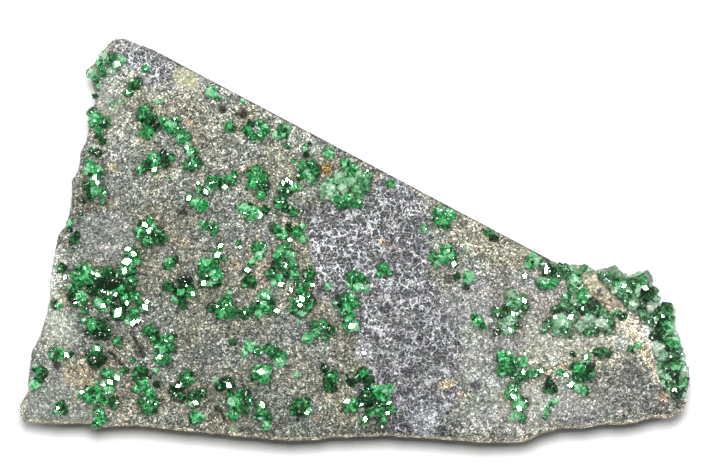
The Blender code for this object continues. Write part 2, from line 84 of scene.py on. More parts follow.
# Outline of the slab, anticlockwise from its top left corner
LEFT_SIDE = (
    (112, 40), (103, 50), (97, 60), (86, 70), (85, 74), (91, 80), (94, 92), (95, 103), (88, 113),
    (88, 128), (86, 142), (80, 152), (80, 162), (78, 170), (71, 182), (72, 195), (69, 213),
    (66, 225), (58, 236), (54, 256), (50, 275), (50, 298), (45, 318), (39, 338), (32, 350),
    (28, 373), (28, 391), (20, 404), (19, 410), (20, 416),
)
LOWER_SIDE = (
    (23, 422), (42, 423), (60, 424), (91, 424), (95, 427), (112, 427), (130, 426), (145, 427),
    (170, 430), (188, 432), (205, 433), (225, 435), (245, 437), (260, 438), (275, 440), (290, 441),
    (320, 440), (330, 438), (358, 437), (386, 436), (395, 437), (412, 438), (430, 439), (459, 441),
    (485, 443), (516, 443), (529, 441), (540, 435), (552, 431), (564, 428), (574, 429), (584, 429),
    (601, 425), (624, 425), (640, 422), (654, 418), (667, 418), (675, 417), (683, 412), (688, 403),
    (686, 396),
)
RIGHT_END = (
    (676, 394), (668, 390), (663, 384), (659, 370), (656, 357), (656, 345), (652, 332), (646, 321),
    (637, 314), (627, 306), (617, 297), (608, 289), (601, 280),
)
UPPER_RIGHT = ((595, 270), (583, 265), (571, 264), (561, 264))
SAWN_EDGE = ((549, 259), (150, 48))
TOP_LEFT = ((138, 44), (130, 40), (125, 38), (117, 38))

# Rough margins and walls
OUTLINE_STEP = 0.3 * MM
RIM_WIDTH = 0.25 * MM
RIM_DROP = 0.5 * MM
EDGE_ROUNDING_WIDTH = 1.4 * MM
EDGE_ROUNDING_DROP = 0.5 * MM
NIBBLE = 0.12 * MM
NIBBLE_WAVE = 0.9 * MM
WALL_RINGS = 26
WALL_INSETS = ((1.0, 0.0), (0.5, 0.3 * MM), (0.0, 1.1 * MM))
RIGHT_WALL_INSETS = ((1.0, 0.0), (0.5, -0.9 * MM), (0.0, -1.2 * MM))
WALL_WAVES = ((3.0 * MM, 0.40 * MM), (1.1 * MM, 0.16 * MM), (0.45 * MM, 0.07 * MM))
WALL_SMOOTHING = 2

# Relief of the top
TOP_STEP = 0.23 * MM
TOP_JITTER = 0.3
TOP_CLEARANCE = 0.12 * MM
BROAD_RELIEF = 0.55 * MM
BROAD_WAVE = 13.0 * MM
BROAD_LAYER = 0.3
FINE_RELIEF = 0.28 * MM
FINE_WAVE = 3.6 * MM
FINE_LAYER = 7.1
GRIT_WAVES = ((1.5 * MM, 0.13 * MM, 2.2), (0.7 * MM, 0.08 * MM, 5.9), (0.4 * MM, 0.05 * MM, 9.4))
LUMPS = (
    (103, 232, 30, 0.5), (154, 62, 26, 0.5), (345, 185, 40, 0.7), (380, 250, 46, -0.5),
    (420, 350, 50, -0.4), (285, 262, 34, 0.6), (110, 292, 34, 0.7), (597, 292, 26, 0.5),
    (575, 318, 34, 0.5), (642, 340, 22, 0.6), (470, 340, 26, -0.3), (630, 385, 34, -0.5),
    (368, 398, 34, 0.5), (512, 366, 26, 0.5), (190, 90, 14, 0.3), (90, 395, 28, 0.4),
    (222, 330, 40, -0.4), (222, 109, 4, -0.5), (246, 114, 4, -0.5), (57, 366, 4, -0.5),
    (280, 322, 5, -0.5), (183, 213, 4, -0.5), (448, 384, 9, 0.35), (318, 232, 24, -0.4),
)
CRACKS = (
    ((133, 333), (135, 341), (139, 347), (141, 353), (144, 357)),
    ((109, 353), (113, 355), (116, 360), (122, 365)),
    ((216, 409), (222, 412), (224, 419)),
)
CRACK_WIDTH = 0.35 * MM
CRACK_DEPTH = 0.6 * MM

# Tones of garnet, from nearly black to pale mint
DARK, DEEP, GREEN, BRIGHT, MINT, PALE = 0.0, 0.2, 0.4, 0.6, 0.73, 0.88

# Garnets of each crust: place and radius in pixels, and tone
CRUSTS = {
    "tip_druse": (
        (103, 56, 5, MINT), (112, 57, 5, DEEP), (121, 60, 5, MINT), (108, 63, 4, GREEN),
        (100, 64, 5, GREEN), (92, 74, 5, MINT), (102, 72, 5, GREEN), (112, 71, 4, PALE),
        (96, 80, 4, GREEN), (99, 86, 3, MINT), (119, 102, 3, MINT), (116, 66, 4, PALE),
    ),
    "left_rim_north": (
        (93, 113, 6, GREEN), (97, 119, 7, BRIGHT), (106, 123, 6, GREEN), (98, 128, 5, GREEN),
        (99, 136, 4, DEEP), (103, 142, 4, DEEP), (92, 124, 4, GREEN),
    ),
    "left_rim_middle": (
        (89, 171, 6, MINT), (98, 171, 6, BRIGHT), (95, 179, 6, GREEN), (87, 186, 5, DEEP),
        (97, 189, 7, GREEN), (104, 193, 4, BRIGHT), (91, 195, 5, DEEP), (84, 201, 3, DARK),
        (103, 202, 3, GREEN), (90, 164, 4, BRIGHT),
    ),
    "north_ridge": (
        (145, 112, 7, GREEN), (147, 122, 6, DEEP), (148, 132, 7, GREEN), (155, 127, 5, DARK),
        (140, 117, 4, GREEN), (153, 118, 4, DEEP),
    ),
    "teal_patch": (
        (163, 121, 5, GREEN), (170, 126, 7, BRIGHT), (177, 131, 6, GREEN), (181, 138, 5, BRIGHT),
        (187, 136, 5, GREEN), (176, 120, 4, GREEN), (187, 145, 4, MINT),
    ),
    "ring_by_saw": (
        (247, 130, 5, GREEN), (252, 136, 5, DEEP), (260, 136, 5, GREEN), (265, 129, 6, BRIGHT),
        (260, 123, 4, GREEN), (251, 123, 4, DEEP),
    ),
    "north_streak": (
        (140, 170, 5, GREEN), (147, 165, 6, GREEN), (155, 159, 7, BRIGHT), (165, 161, 7, DEEP),
        (170, 157, 5, GREEN), (163, 153, 4, DARK), (154, 168, 4, MINT),
    ),
    "north_row": (
        (213, 182, 7, GREEN), (221, 184, 6, DEEP), (230, 181, 6, GREEN), (235, 174, 4, GREEN),
        (209, 190, 4, BRIGHT), (225, 188, 4, MINT),
    ),
    "north_knot": (
        (256, 170, 5, GREEN), (261, 177, 7, GREEN), (253, 183, 7, BRIGHT), (265, 187, 5, DEEP),
        (261, 195, 5, BRIGHT), (250, 174, 4, DEEP),
    ),
    "north_star": (
        (303, 166, 5, GREEN), (311, 164, 5, GREEN), (316, 171, 6, DEEP), (308, 175, 6, MINT),
        (301, 175, 5, DEEP), (313, 181, 4, MINT),
    ),
    "north_middle": (
        (288, 184, 6, GREEN), (295, 187, 5, MINT), (285, 192, 6, DEEP), (280, 203, 7, GREEN),
        (286, 208, 5, DEEP), (294, 212, 5, GREEN),
    ),
    "great_north": (
        (346, 164, 7, BRIGHT), (354, 169, 5, BRIGHT), (365, 178, 8, GREEN), (339, 178, 7, MINT),
        (329, 191, 9, MINT), (336, 197, 7, BRIGHT), (343, 188, 6, PALE), (350, 181, 6, MINT),
        (357, 189, 7, GREEN), (365, 188, 5, GREEN), (348, 200, 7, BRIGHT), (341, 205, 6, GREEN),
        (358, 204, 5, BRIGHT), (360, 196, 4, MINT), (331, 181, 5, MINT), (357, 176, 5, MINT),
        (346, 175, 5, GREEN), (324, 197, 4, MINT),
    ),
    "west_knot": (
        (150, 221, 5, BRIGHT), (143, 225, 6, DEEP), (140, 232, 6, GREEN), (148, 231, 5, MINT),
        (158, 234, 7, DEEP), (161, 239, 6, GREEN), (148, 242, 6, GREEN), (152, 225, 4, PALE),
    ),
    "west_druse": (
        (135, 253, 5, GREEN), (129, 256, 4, MINT), (131, 264, 5, MINT), (137, 261, 5, GREEN),
        (127, 269, 4, PALE), (133, 271, 4, DEEP),
    ),
    "bright_west": (
        (206, 266, 7, BRIGHT), (213, 265, 6, GREEN), (216, 274, 7, BRIGHT), (205, 275, 6, GREEN),
        (212, 282, 7, GREEN), (203, 284, 4, DEEP), (219, 283, 4, DEEP),
    ),
    "left_bright": (
        (85, 271, 8, BRIGHT), (79, 275, 7, BRIGHT), (88, 280, 6, GREEN), (76, 286, 6, BRIGHT),
        (81, 295, 6, BRIGHT), (72, 295, 5, DARK), (75, 302, 5, DEEP), (83, 301, 5, GREEN),
    ),
    "west_mass": (
        (108, 274, 7, DEEP), (103, 282, 8, DARK), (113, 283, 8, DARK), (118, 276, 6, DEEP),
        (104, 293, 7, DEEP), (114, 293, 7, GREEN), (121, 288, 6, BRIGHT), (131, 281, 6, DEEP),
        (130, 289, 6, DEEP), (136, 295, 5, GREEN), (93, 290, 6, DARK), (125, 297, 5, GREEN),
        (99, 303, 5, MINT), (104, 309, 4, GREEN), (117, 311, 7, DEEP), (125, 304, 5, DEEP),
        (134, 313, 5, BRIGHT), (128, 321, 4, MINT), (144, 308, 5, MINT), (139, 303, 4, GREEN),
        (97, 275, 6, DEEP), (110, 301, 5, GREEN),
    ),
    "middle_dark": (
        (185, 282, 7, DARK), (190, 289, 5, DEEP), (180, 294, 7, GREEN), (183, 304, 5, DEEP),
        (192, 294, 4, BRIGHT), (175, 299, 4, MINT),
    ),
    "middle_bright": (
        (226, 304, 8, DEEP), (221, 312, 7, GREEN), (231, 311, 7, GREEN), (213, 307, 5, DARK),
        (228, 298, 4, BRIGHT),
    ),
    "centre_row": (
        (275, 229, 5, GREEN), (283, 235, 6, BRIGHT), (290, 228, 4, DARK), (297, 232, 6, BRIGHT),
        (303, 239, 4, MINT), (302, 227, 4, MINT),
    ),
    "centre_mass": (
        (285, 248, 6, GREEN), (278, 255, 5, BRIGHT), (291, 255, 6, MINT), (277, 265, 6, DEEP),
        (285, 264, 6, BRIGHT), (293, 265, 5, GREEN), (271, 274, 6, GREEN), (279, 278, 5, BRIGHT),
        (294, 275, 6, GREEN), (310, 274, 7, DEEP), (308, 284, 5, GREEN), (287, 276, 4, DEEP),
        (298, 284, 4, GREEN), (274, 283, 4, MINT),
    ),
    "centre_south": (
        (265, 296, 7, BRIGHT), (262, 304, 7, GREEN), (268, 309, 6, GREEN), (259, 313, 5, MINT),
        (252, 309, 4, DEEP), (272, 302, 4, DEEP),
    ),
    "centre_east": (
        (301, 293, 6, DEEP), (308, 297, 5, GREEN), (297, 303, 7, DEEP), (307, 307, 6, GREEN),
        (302, 313, 5, MINT), (293, 311, 4, GREEN), (313, 301, 4, DEEP),
    ),
    "south_ring": (
        (314, 325, 5, DEEP), (323, 324, 5, GREEN), (330, 330, 5, DARK), (314, 335, 5, MINT),
        (308, 338, 6, MINT), (326, 337, 4, GREEN), (318, 330, 4, PALE),
    ),
    "east_knot": (
        (354, 278, 7, GREEN), (361, 279, 6, GREEN), (358, 287, 6, MINT), (366, 290, 4, PALE),
        (350, 285, 4, MINT), (366, 281, 4, GREEN),
    ),
    "east_drop": (
        (343, 300, 7, DEEP), (351, 301, 7, BRIGHT), (346, 310, 7, GREEN), (350, 318, 5, BRIGHT),
        (346, 325, 5, GREEN), (354, 327, 6, MINT), (337, 304, 4, MINT), (358, 304, 4, GREEN),
    ),
    "lower_left_north": (
        (92, 325, 7, GREEN), (101, 325, 6, DEEP), (100, 334, 6, DARK), (88, 332, 4, DARK),
        (106, 335, 5, DEEP), (117, 341, 5, GREEN), (84, 321, 3, MINT), (108, 328, 4, GREEN),
    ),
    "lower_left_dark": (
        (97, 352, 6, DEEP), (96, 361, 7, DARK), (90, 356, 5, DEEP), (102, 360, 5, DARK),
    ),
    "lower_left_druse": (
        (89, 391, 5, DEEP), (97, 389, 5, GREEN), (101, 396, 6, GREEN), (109, 390, 5, MINT),
        (91, 399, 5, BRIGHT), (114, 402, 6, DARK), (83, 396, 4, GREEN), (104, 384, 4, PALE),
        (105, 402, 4, BRIGHT),
    ),
    "south_west_ridge": (
        (150, 331, 7, GREEN), (155, 338, 6, DEEP), (167, 340, 7, BRIGHT), (161, 348, 7, BRIGHT),
        (171, 348, 5, DEEP), (160, 358, 6, BRIGHT), (167, 360, 5, GREEN), (174, 336, 4, DARK),
    ),
    "south_west_chain": (
        (142, 372, 7, DEEP), (137, 378, 5, GREEN), (144, 384, 6, BRIGHT), (137, 389, 5, GREEN),
        (150, 393, 5, BRIGHT), (146, 402, 8, GREEN), (155, 403, 6, DEEP), (148, 410, 6, GREEN),
        (157, 384, 4, DARK), (156, 371, 3, MINT), (154, 411, 4, DEEP),
    ),
    "south_dark": (
        (186, 379, 8, GREEN), (178, 388, 6, DARK), (180, 396, 6, DARK), (195, 396, 7, DEEP),
        (203, 392, 4, DARK), (172, 391, 4, DEEP), (192, 403, 4, MINT),
    ),
    "south_green": (
        (246, 393, 6, DEEP), (239, 397, 5, GREEN), (249, 401, 5, GREEN), (233, 403, 6, MINT),
        (240, 408, 6, GREEN), (233, 415, 5, BRIGHT), (246, 411, 4, DEEP), (230, 394, 4, GREEN),
    ),
    "south_bright": ((262, 373, 9, BRIGHT), (255, 376, 4, GREEN), (269, 369, 4, GREEN)),
    "bottom_chain": (
        (262, 411, 6, MINT), (268, 417, 5, GREEN), (267, 425, 5, MINT), (259, 417, 4, GREEN),
    ),
    "bottom_knot": (
        (297, 404, 6, DEEP), (305, 402, 6, GREEN), (301, 412, 6, DARK), (309, 410, 4, MINT),
        (293, 411, 4, GREEN),
    ),
    "south_drop": (
        (330, 378, 7, DEEP), (330, 386, 7, DARK), (325, 368, 5, DARK), (335, 373, 4, DEEP),
    ),
    "south_mass": (
        (363, 372, 6, DEEP), (358, 378, 5, DARK), (369, 381, 6, DARK), (368, 390, 6, DEEP),
        (380, 393, 8, BRIGHT), (388, 390, 5, BRIGHT), (353, 404, 7, BRIGHT), (366, 399, 7, DEEP),
        (376, 403, 6, DARK), (386, 401, 6, GREEN), (391, 409, 5, GREEN), (380, 412, 6, GREEN),
        (371, 412, 6, GREEN), (364, 422, 4, GREEN), (346, 409, 4, GREEN), (373, 386, 4, MINT),
        (383, 420, 4, GREEN),
    ),
    "sawn_flush": (
        (440, 212, 7, GREEN), (448, 217, 7, BRIGHT), (439, 220, 6, GREEN), (446, 225, 5, GREEN),
        (434, 217, 4, GREEN),
    ),
    "east_bright": (
        (448, 251, 7, BRIGHT), (443, 258, 6, BRIGHT), (434, 257, 5, GREEN), (452, 257, 5, BRIGHT),
        (437, 263, 4, MINT), (454, 264, 3, PALE),
    ),
    "right_mass": (
        (532, 257, 5, BRIGHT), (531, 264, 5, BRIGHT), (538, 262, 5, MINT), (544, 265, 6, DEEP),
        (551, 269, 6, DARK), (557, 276, 6, GREEN), (547, 274, 6, DEEP), (544, 283, 7, BRIGHT),
        (552, 283, 6, BRIGHT), (560, 268, 5, GREEN), (567, 273, 6, GREEN), (574, 281, 7, BRIGHT),
        (580, 288, 6, GREEN), (573, 290, 6, GREEN), (583, 297, 7, BRIGHT), (575, 299, 5, MINT),
        (592, 304, 7, DARK), (598, 311, 7, GREEN), (563, 305, 6, GREEN), (556, 311, 5, DEEP),
        (551, 323, 6, GREEN), (563, 322, 8, MINT), (574, 318, 6, GREEN), (580, 326, 7, MINT),
        (589, 319, 6, MINT), (601, 323, 8, MINT), (609, 318, 6, GREEN), (594, 330, 6, GREEN),
        (568, 333, 5, GREEN), (557, 331, 5, MINT), (607, 330, 5, GREEN), (587, 333, 4, DEEP),
        (571, 309, 6, GREEN), (584, 309, 6, DEEP), (612, 325, 4, DARK), (545, 330, 4, GREEN),
        (565, 267, 4, GREEN), (571, 270, 4, MINT), (577, 274, 4, GREEN), (583, 268, 4, GREEN),
        (589, 270, 3, MINT), (566, 296, 4, BRIGHT), (581, 303, 4, BRIGHT),
    ),
    "right_centre": (
        (513, 295, 6, MINT), (520, 300, 6, GREEN), (525, 306, 5, DEEP), (512, 303, 6, GREEN),
        (497, 312, 6, DEEP), (508, 310, 6, DEEP), (518, 311, 6, GREEN), (512, 320, 6, MINT),
        (504, 324, 6, MINT), (509, 331, 5, MINT), (497, 332, 4, DEEP), (516, 326, 4, DEEP),
    ),
    "lower_right_mass": (
        (505, 358, 9, BRIGHT), (514, 362, 6, DEEP), (502, 369, 7, BRIGHT), (511, 371, 6, DEEP),
        (522, 362, 6, GREEN), (523, 375, 6, GREEN), (533, 373, 6, GREEN), (540, 371, 4, MINT),
        (517, 382, 5, GREEN), (513, 387, 6, GREEN), (510, 394, 6, BRIGHT), (518, 398, 6, GREEN),
        (519, 405, 7, BRIGHT), (524, 402, 5, DEEP), (516, 415, 6, MINT), (522, 418, 5, DEEP),
        (515, 378, 4, DEEP),
    ),
    "lower_right_dark": (
        (549, 384, 5, DARK), (553, 389, 5, DEEP), (546, 390, 4, DEEP), (549, 378, 3, DARK),
    ),
    "right_square": ((602, 352, 6, GREEN), (597, 352, 4, DEEP), (608, 353, 4, DARK)),
    "right_gem": (
        (587, 358, 5, MINT), (580, 368, 7, BRIGHT), (589, 367, 6, DARK), (584, 376, 7, DEEP),
        (591, 375, 5, GREEN), (577, 377, 5, GREEN), (572, 384, 4, PALE), (578, 388, 5, MINT),
        (585, 391, 5, BRIGHT), (574, 366, 4, DEEP),
    ),
}

# Lone garnets, and small groups that have no crust of their own
LONE_GARNETS = (
    (129, 93, 5, BRIGHT), (137, 84, 6, DARK), (132, 86, 4, DEEP), (146, 69, 4, MINT),
    (157, 101, 3, MINT), (91, 151, 4, GREEN), (98, 153, 4, DARK), (88, 160, 3, GREEN),
    (212, 93, 6, MINT), (218, 98, 3, MINT), (243, 101, 3, MINT), (230, 127, 6, GREEN),
    (284, 130, 8, GREEN), (277, 135, 5, MINT), (288, 146, 4, GREEN), (305, 148, 4, GREEN),
    (306, 155, 3, DARK), (328, 153, 6, MINT), (192, 153, 6, BRIGHT), (190, 165, 7, GREEN),
    (199, 163, 5, DEEP), (199, 190, 4, GREEN), (196, 202, 6, MINT), (203, 205, 6, BRIGHT),
    (199, 210, 4, GREEN), (245, 209, 7, MINT), (254, 213, 7, GREEN), (265, 210, 5, DEEP),
    (249, 205, 4, DEEP), (81, 213, 3, DARK), (70, 223, 4, BRIGHT), (70, 230, 3, DARK),
    (74, 239, 6, DARK), (77, 235, 4, DEEP), (207, 226, 5, DEEP), (214, 228, 6, GREEN),
    (203, 223, 3, MINT), (170, 263, 6, BRIGHT), (166, 266, 4, DEEP), (175, 260, 4, DARK),
    (238, 243, 3, GREEN), (223, 257, 3, GREEN), (62, 268, 5, DEEP), (64, 276, 2, PALE),
    (54, 304, 5, DEEP), (59, 306, 4, MINT), (85, 311, 4, GREEN), (168, 286, 6, DEEP),
    (229, 292, 3, MINT), (245, 313, 6, GREEN), (249, 281, 7, DEEP), (254, 285, 4, GREEN),
    (256, 247, 6, GREEN), (263, 247, 5, DEEP), (259, 255, 5, MINT), (252, 262, 4, MINT),
    (328, 287, 4, MINT), (383, 269, 6, GREEN), (379, 274, 4, MINT), (388, 272, 4, GREEN),
    (233, 342, 4, DEEP), (250, 347, 6, MINT), (258, 351, 6, GREEN), (244, 353, 4, PALE),
    (55, 353, 7, GREEN), (63, 355, 5, MINT), (71, 354, 3, DARK), (38, 369, 5, GREEN),
    (44, 373, 5, DARK), (41, 379, 4, DEEP), (35, 385, 6, BRIGHT), (107, 373, 6, GREEN),
    (117, 377, 4, PALE), (125, 370, 4, GREEN), (61, 406, 6, DEEP), (57, 411, 4, GREEN),
    (65, 411, 4, DEEP), (98, 412, 6, GREEN), (101, 420, 6, BRIGHT), (95, 425, 4, DEEP),
    (227, 383, 7, DARK), (220, 387, 5, DARK), (216, 381, 3, MINT), (197, 417, 7, GREEN),
    (193, 423, 5, DEEP), (275, 352, 7, GREEN), (269, 349, 5, GREEN), (280, 362, 6, MINT),
    (284, 355, 4, GREEN), (351, 382, 5, DARK), (424, 228, 4, MINT), (390, 184, 5, GREEN),
    (494, 237, 5, DARK), (488, 233, 4, DEEP), (469, 277, 6, MINT), (466, 286, 4, DARK),
    (457, 277, 4, DARK), (478, 321, 6, MINT), (474, 317, 4, GREEN), (482, 326, 4, GREEN),
    (573, 354, 3, DARK), (560, 372, 4, MINT), (566, 374, 3, PALE), (547, 411, 4, MINT),
    (545, 417, 3, GREEN), (555, 401, 4, PALE), (551, 404, 3, GREEN), (637, 345, 4, MINT),
    (622, 316, 5, DEEP), (617, 313, 4, GREEN), (630, 349, 3, GREEN), (160, 101, 3, MINT),
    (95, 96, 3, GREEN), (112, 105, 3, GREEN), (133, 360, 3, GREEN), (297, 375, 3, MINT),
)

# Flat faces that shine: place and width of the lit face in pixels
SHINING_FACES = (
    (118, 64, 5), (95, 177, 4), (98, 183, 4), (154, 170, 6), (189, 198, 6), (206, 192, 6),
    (225, 187, 5), (187, 148, 4), (287, 180, 4), (291, 183, 4), (260, 215, 6), (145, 225, 5),
    (149, 231, 4), (127, 262, 8), (125, 271, 7), (128, 249, 5), (134, 254, 5), (220, 246, 6),
    (217, 255, 7), (204, 283, 5), (65, 277, 4), (93, 273, 3), (98, 275, 6), (103, 306, 6),
    (118, 313, 11), (127, 303, 4), (145, 307, 7), (133, 323, 5), (138, 321, 4), (193, 294, 4),
    (248, 270, 6), (281, 284, 6), (285, 265, 4), (302, 299, 9), (300, 305, 4), (291, 290, 4),
    (277, 311, 5), (313, 285, 4), (290, 240, 4), (352, 326, 7), (97, 349, 7), (66, 355, 6),
    (110, 382, 7), (117, 378, 5), (104, 385, 3), (82, 392, 4), (58, 408, 3), (178, 386, 4),
    (196, 403, 6), (229, 385, 5), (261, 372, 8), (262, 405, 7), (307, 413, 6), (347, 401, 5),
    (362, 404, 4), (365, 419, 6), (389, 403, 4), (388, 413, 4), (454, 264, 5), (525, 276, 5),
    (547, 268, 4), (546, 272, 4), (524, 301, 5), (513, 314, 4), (555, 317, 4), (570, 317, 5),
    (523, 372, 4), (541, 371, 4), (514, 397, 5), (519, 408, 5), (586, 357, 6), (566, 375, 4),
    (571, 385, 5), (510, 330, 4), (623, 286, 5), (645, 288, 5), (662, 316, 3), (674, 390, 4),
    (364, 353, 4), (160, 357, 5), (147, 302, 4), (283, 183, 4), (240, 247, 3), (198, 183, 3),
)

# Crust over the right end: crystals seen from above
END_GARNETS = (
    (604, 275, 6, DEEP), (607, 279, 5, MINT), (618, 279, 6, GREEN), (619, 286, 6, BRIGHT),
    (611, 283, 6, GREEN), (626, 281, 5, GREEN), (633, 286, 6, GREEN), (640, 289, 6, PALE),
    (653, 291, 5, DEEP), (656, 298, 4, MINT), (628, 292, 6, GREEN), (637, 297, 6, GREEN),
    (633, 305, 6, MINT), (642, 305, 6, DEEP), (650, 308, 5, PALE), (661, 313, 7, DARK),
    (655, 318, 6, DEEP), (663, 321, 5, GREEN), (661, 330, 6, DARK), (666, 337, 6, DEEP),
    (678, 350, 5, GREEN), (668, 346, 6, DARK), (659, 350, 7, MINT), (664, 356, 6, MINT),
    (672, 356, 7, DEEP), (681, 359, 5, GREEN), (677, 365, 7, BRIGHT), (668, 367, 6, GREEN),
    (684, 370, 5, MINT), (674, 374, 7, DARK), (683, 380, 6, GREEN), (672, 383, 6, DEEP),
    (682, 387, 6, GREEN), (676, 393, 7, DARK), (682, 395, 5, MINT), (667, 377, 5, MINT),
    (649, 322, 4, DEEP), (644, 315, 5, GREEN), (627, 301, 5, GREEN), (622, 294, 5, GREEN),
    (671, 320, 4, GREEN), (653, 336, 5, DARK), (661, 342, 4, DARK), (686, 385, 4, GREEN),
    (672, 335, 4, GREEN), (615, 290, 5, MINT), (605, 280, 4, GREEN), (661, 365, 4, GREEN),
    (660, 371, 4, MINT), (663, 376, 4, GREEN), (664, 384, 4, PALE), (670, 391, 4, MINT),
    (656, 344, 4, PALE), (665, 388, 3, GREEN),
)
# Large clean crystals that stand out of the end crust
END_GEMS = (
    (613, 274, 8, GREEN), (644, 279, 8, GREEN), (647, 293, 8, DARK), (667, 310, 8, DEEP),
    (668, 328, 7, BRIGHT), (673, 343, 7, BRIGHT), (631, 282, 5, DEEP),
)
END_OUTER = (
    (675, 417), (682, 410), (688, 397), (690, 388), (691, 375), (687, 362), (684, 348), (680, 337),
    (675, 324), (676, 318), (673, 309), (668, 303), (662, 303), (659, 296), (654, 286), (651, 277),
    (643, 271), (637, 273), (630, 277), (625, 272), (616, 266), (601, 269), (594, 270),
)
END_FOOT = 2.2 * MM

# Seeds of what is scattered
SEED = 7


def on_slab(pixel_x, pixel_y):
    """Metres from the middle of the slab to a pixel of the photograph."""
    return (pixel_x - PHOTO_CENTRE[0]) * PIXEL, (PHOTO_CENTRE[1] - pixel_y) * PIXEL


def spots(places):
    return np.array([on_slab(*place) for place in places])


def to_pixels(points):
    """Photograph pixels of plan points on the slab."""
    return np.column_stack((points[:, 0] / PIXEL + PHOTO_CENTRE[0], PHOTO_CENTRE[1] - points[:, 1] / PIXEL))


def smooth_step(values):
    values = np.clip(values, 0.0, 1.0)
    return values * values * (3 - 2 * values)


def noise_at(points, wave, layer=0.0):
    """Smooth noise from about -1 to 1 at each plan or space point."""
    depth = points[:, 2] / wave if points.shape[1] > 2 else np.zeros(len(points))
    places = zip(points[:, 0] / wave, points[:, 1] / wave, depth + layer)
    return np.array([noise.noise(place) for place in places])


def distance_to_line(points, line):
    """Distance from each plan point to the nearest segment of a line."""
    nearest = np.full(len(points), np.inf)
    for start, end in zip(line[:-1], line[1:]):
        run = end - start
        share = np.clip((points - start) @ run / (run @ run), 0.0, 1.0)
        away = np.linalg.norm(points - start - share[:, None] * run, axis=1)
        nearest = np.minimum(nearest, away)
    return nearest


def inside(points, loop):
    """Which plan points lie inside a closed loop."""
    found = np.zeros(len(points), bool)
    for start, end in zip(loop, np.roll(loop, -1, axis=0)):
        between = (start[1] > points[:, 1]) != (end[1] > points[:, 1])
        rise = end[1] - start[1]
        if rise:
            crossing = start[0] + (end[0] - start[0]) * (points[:, 1] - start[1]) / rise
            found ^= between & (points[:, 0] < crossing)
    return found


BROKEN_MARGIN = spots(TOP_LEFT + LEFT_SIDE + LOWER_SIDE)


def relief(points):
    """Waves, lumps, hollows and cracks of the top, as height over its mean (the grit is added by rock_mesh)."""
    height = BROAD_RELIEF * noise_at(points, BROAD_WAVE, BROAD_LAYER)
    height += FINE_RELIEF * noise_at(points, FINE_WAVE, FINE_LAYER)
    for pixel_x, pixel_y, radius, rise in LUMPS:
        away = np.linalg.norm(points - np.array(on_slab(pixel_x, pixel_y)), axis=1) / (radius * PIXEL)
        height += rise * MM * np.exp(-away * away)
    for line in CRACKS:
        away = distance_to_line(points, spots(line))
        height -= CRACK_DEPTH * np.clip(1.0 - away / CRACK_WIDTH, 0.0, 1.0)
    return height


def surface_heights(points):
    """Height of the rock's top at plan points, rounded off at the broken margins."""
    away = distance_to_line(points, BROKEN_MARGIN)
    share = np.clip(1.0 - away / EDGE_ROUNDING_WIDTH, 0.0, 1.0)
    return SLAB_THICKNESS + relief(points) - EDGE_ROUNDING_DROP * share * share


def fine_outline():
    """Outline points a short step apart, and the kind of side that each lies on."""
    stretches = (
        ("broken", LEFT_SIDE + LOWER_SIDE), ("crusted", RIGHT_END), ("broken", UPPER_RIGHT),
        ("sawn", SAWN_EDGE), ("broken", TOP_LEFT),
    )
    coarse = []
    kinds = []
    for kind, places in stretches:
        coarse += list(spots(places))
        kinds += [kind] * len(places)
    points = []
    fine_kinds = []
    for index, start in enumerate(coarse):
        after = (index + 1) % len(coarse)
        end = coarse[after]
        kind = kinds[index] if kinds[index] == kinds[after] else "broken"
        steps = max(1, round(np.linalg.norm(end - start) / OUTLINE_STEP))
        points += [start + (end - start) * step / steps for step in range(steps)]
        fine_kinds += [kind] * steps
    return np.array(points), np.array(fine_kinds)


def inward_normals(loop):
    along = np.roll(loop, -1, axis=0) - np.roll(loop, 1, axis=0)
    along /= np.linalg.norm(along, axis=1)[:, None]
    return np.column_stack((-along[:, 1], along[:, 0]))


def smoothed(loop, kinds, times):
    """The loop with its broken stretches evened out."""
    for _ in range(times):
        evened = (np.roll(loop, 1, axis=0) + np.roll(loop, -1, axis=0) + 2 * loop) / 4
        loop = np.where((kinds == "broken")[:, None], evened, loop)
    return loop


def inset_at(table, share):
    shares, insets = zip(*table[::-1])
    return np.interp(share, shares, insets)


def wall_points(loop, kinds, rim_heights):
    """Rings of points down the side walls, from the rim to the flat back."""
    normals = inward_normals(smoothed(loop, kinds, 4 * WALL_SMOOTHING))
    is_sawn = kinds == "sawn"
    is_crusted = kinds == "crusted"
    rings = []
    for ring in range(WALL_RINGS + 1):
        share = 1.0 - ring / WALL_RINGS
        inset = np.where(is_crusted, inset_at(RIGHT_WALL_INSETS, share), inset_at(WALL_INSETS, share))
        inset[is_sawn] = 0.0
        heights = rim_heights * share
        places = np.column_stack((loop, heights))
        rough = sum(size * noise_at(places, wave, 3.1) for wave, size in WALL_WAVES)
        fade = smooth_step(np.array(min(share, 1 - share) * 8.0))
        inset = inset + np.where(is_sawn, 0.0, np.abs(rough) * fade)
        rings.append(np.column_stack((loop + normals * inset[:, None], heights)))
    return rings


def top_points(loop):
    """Jittered grid points inside the loop."""
    generator = np.random.default_rng(SEED)
    low = loop.min(axis=0)
    high = loop.max(axis=0)
    row_step = TOP_STEP * math.sqrt(3) / 2
    rows = np.arange(low[1], high[1], row_step)
    columns = np.arange(low[0], high[0], TOP_STEP)
    grid_x, grid_y = np.meshgrid(columns, rows)
    grid_x = grid_x + (np.arange(len(rows)) % 2)[:, None] * TOP_STEP / 2
    points = np.column_stack((grid_x.ravel(), grid_y.ravel()))
    points += generator.uniform(-TOP_JITTER, TOP_JITTER, points.shape) * TOP_STEP
    points = points[inside(points, loop)]
    closed = np.vstack((loop, loop[:1]))
    return points[distance_to_line(points, closed) > TOP_CLEARANCE]


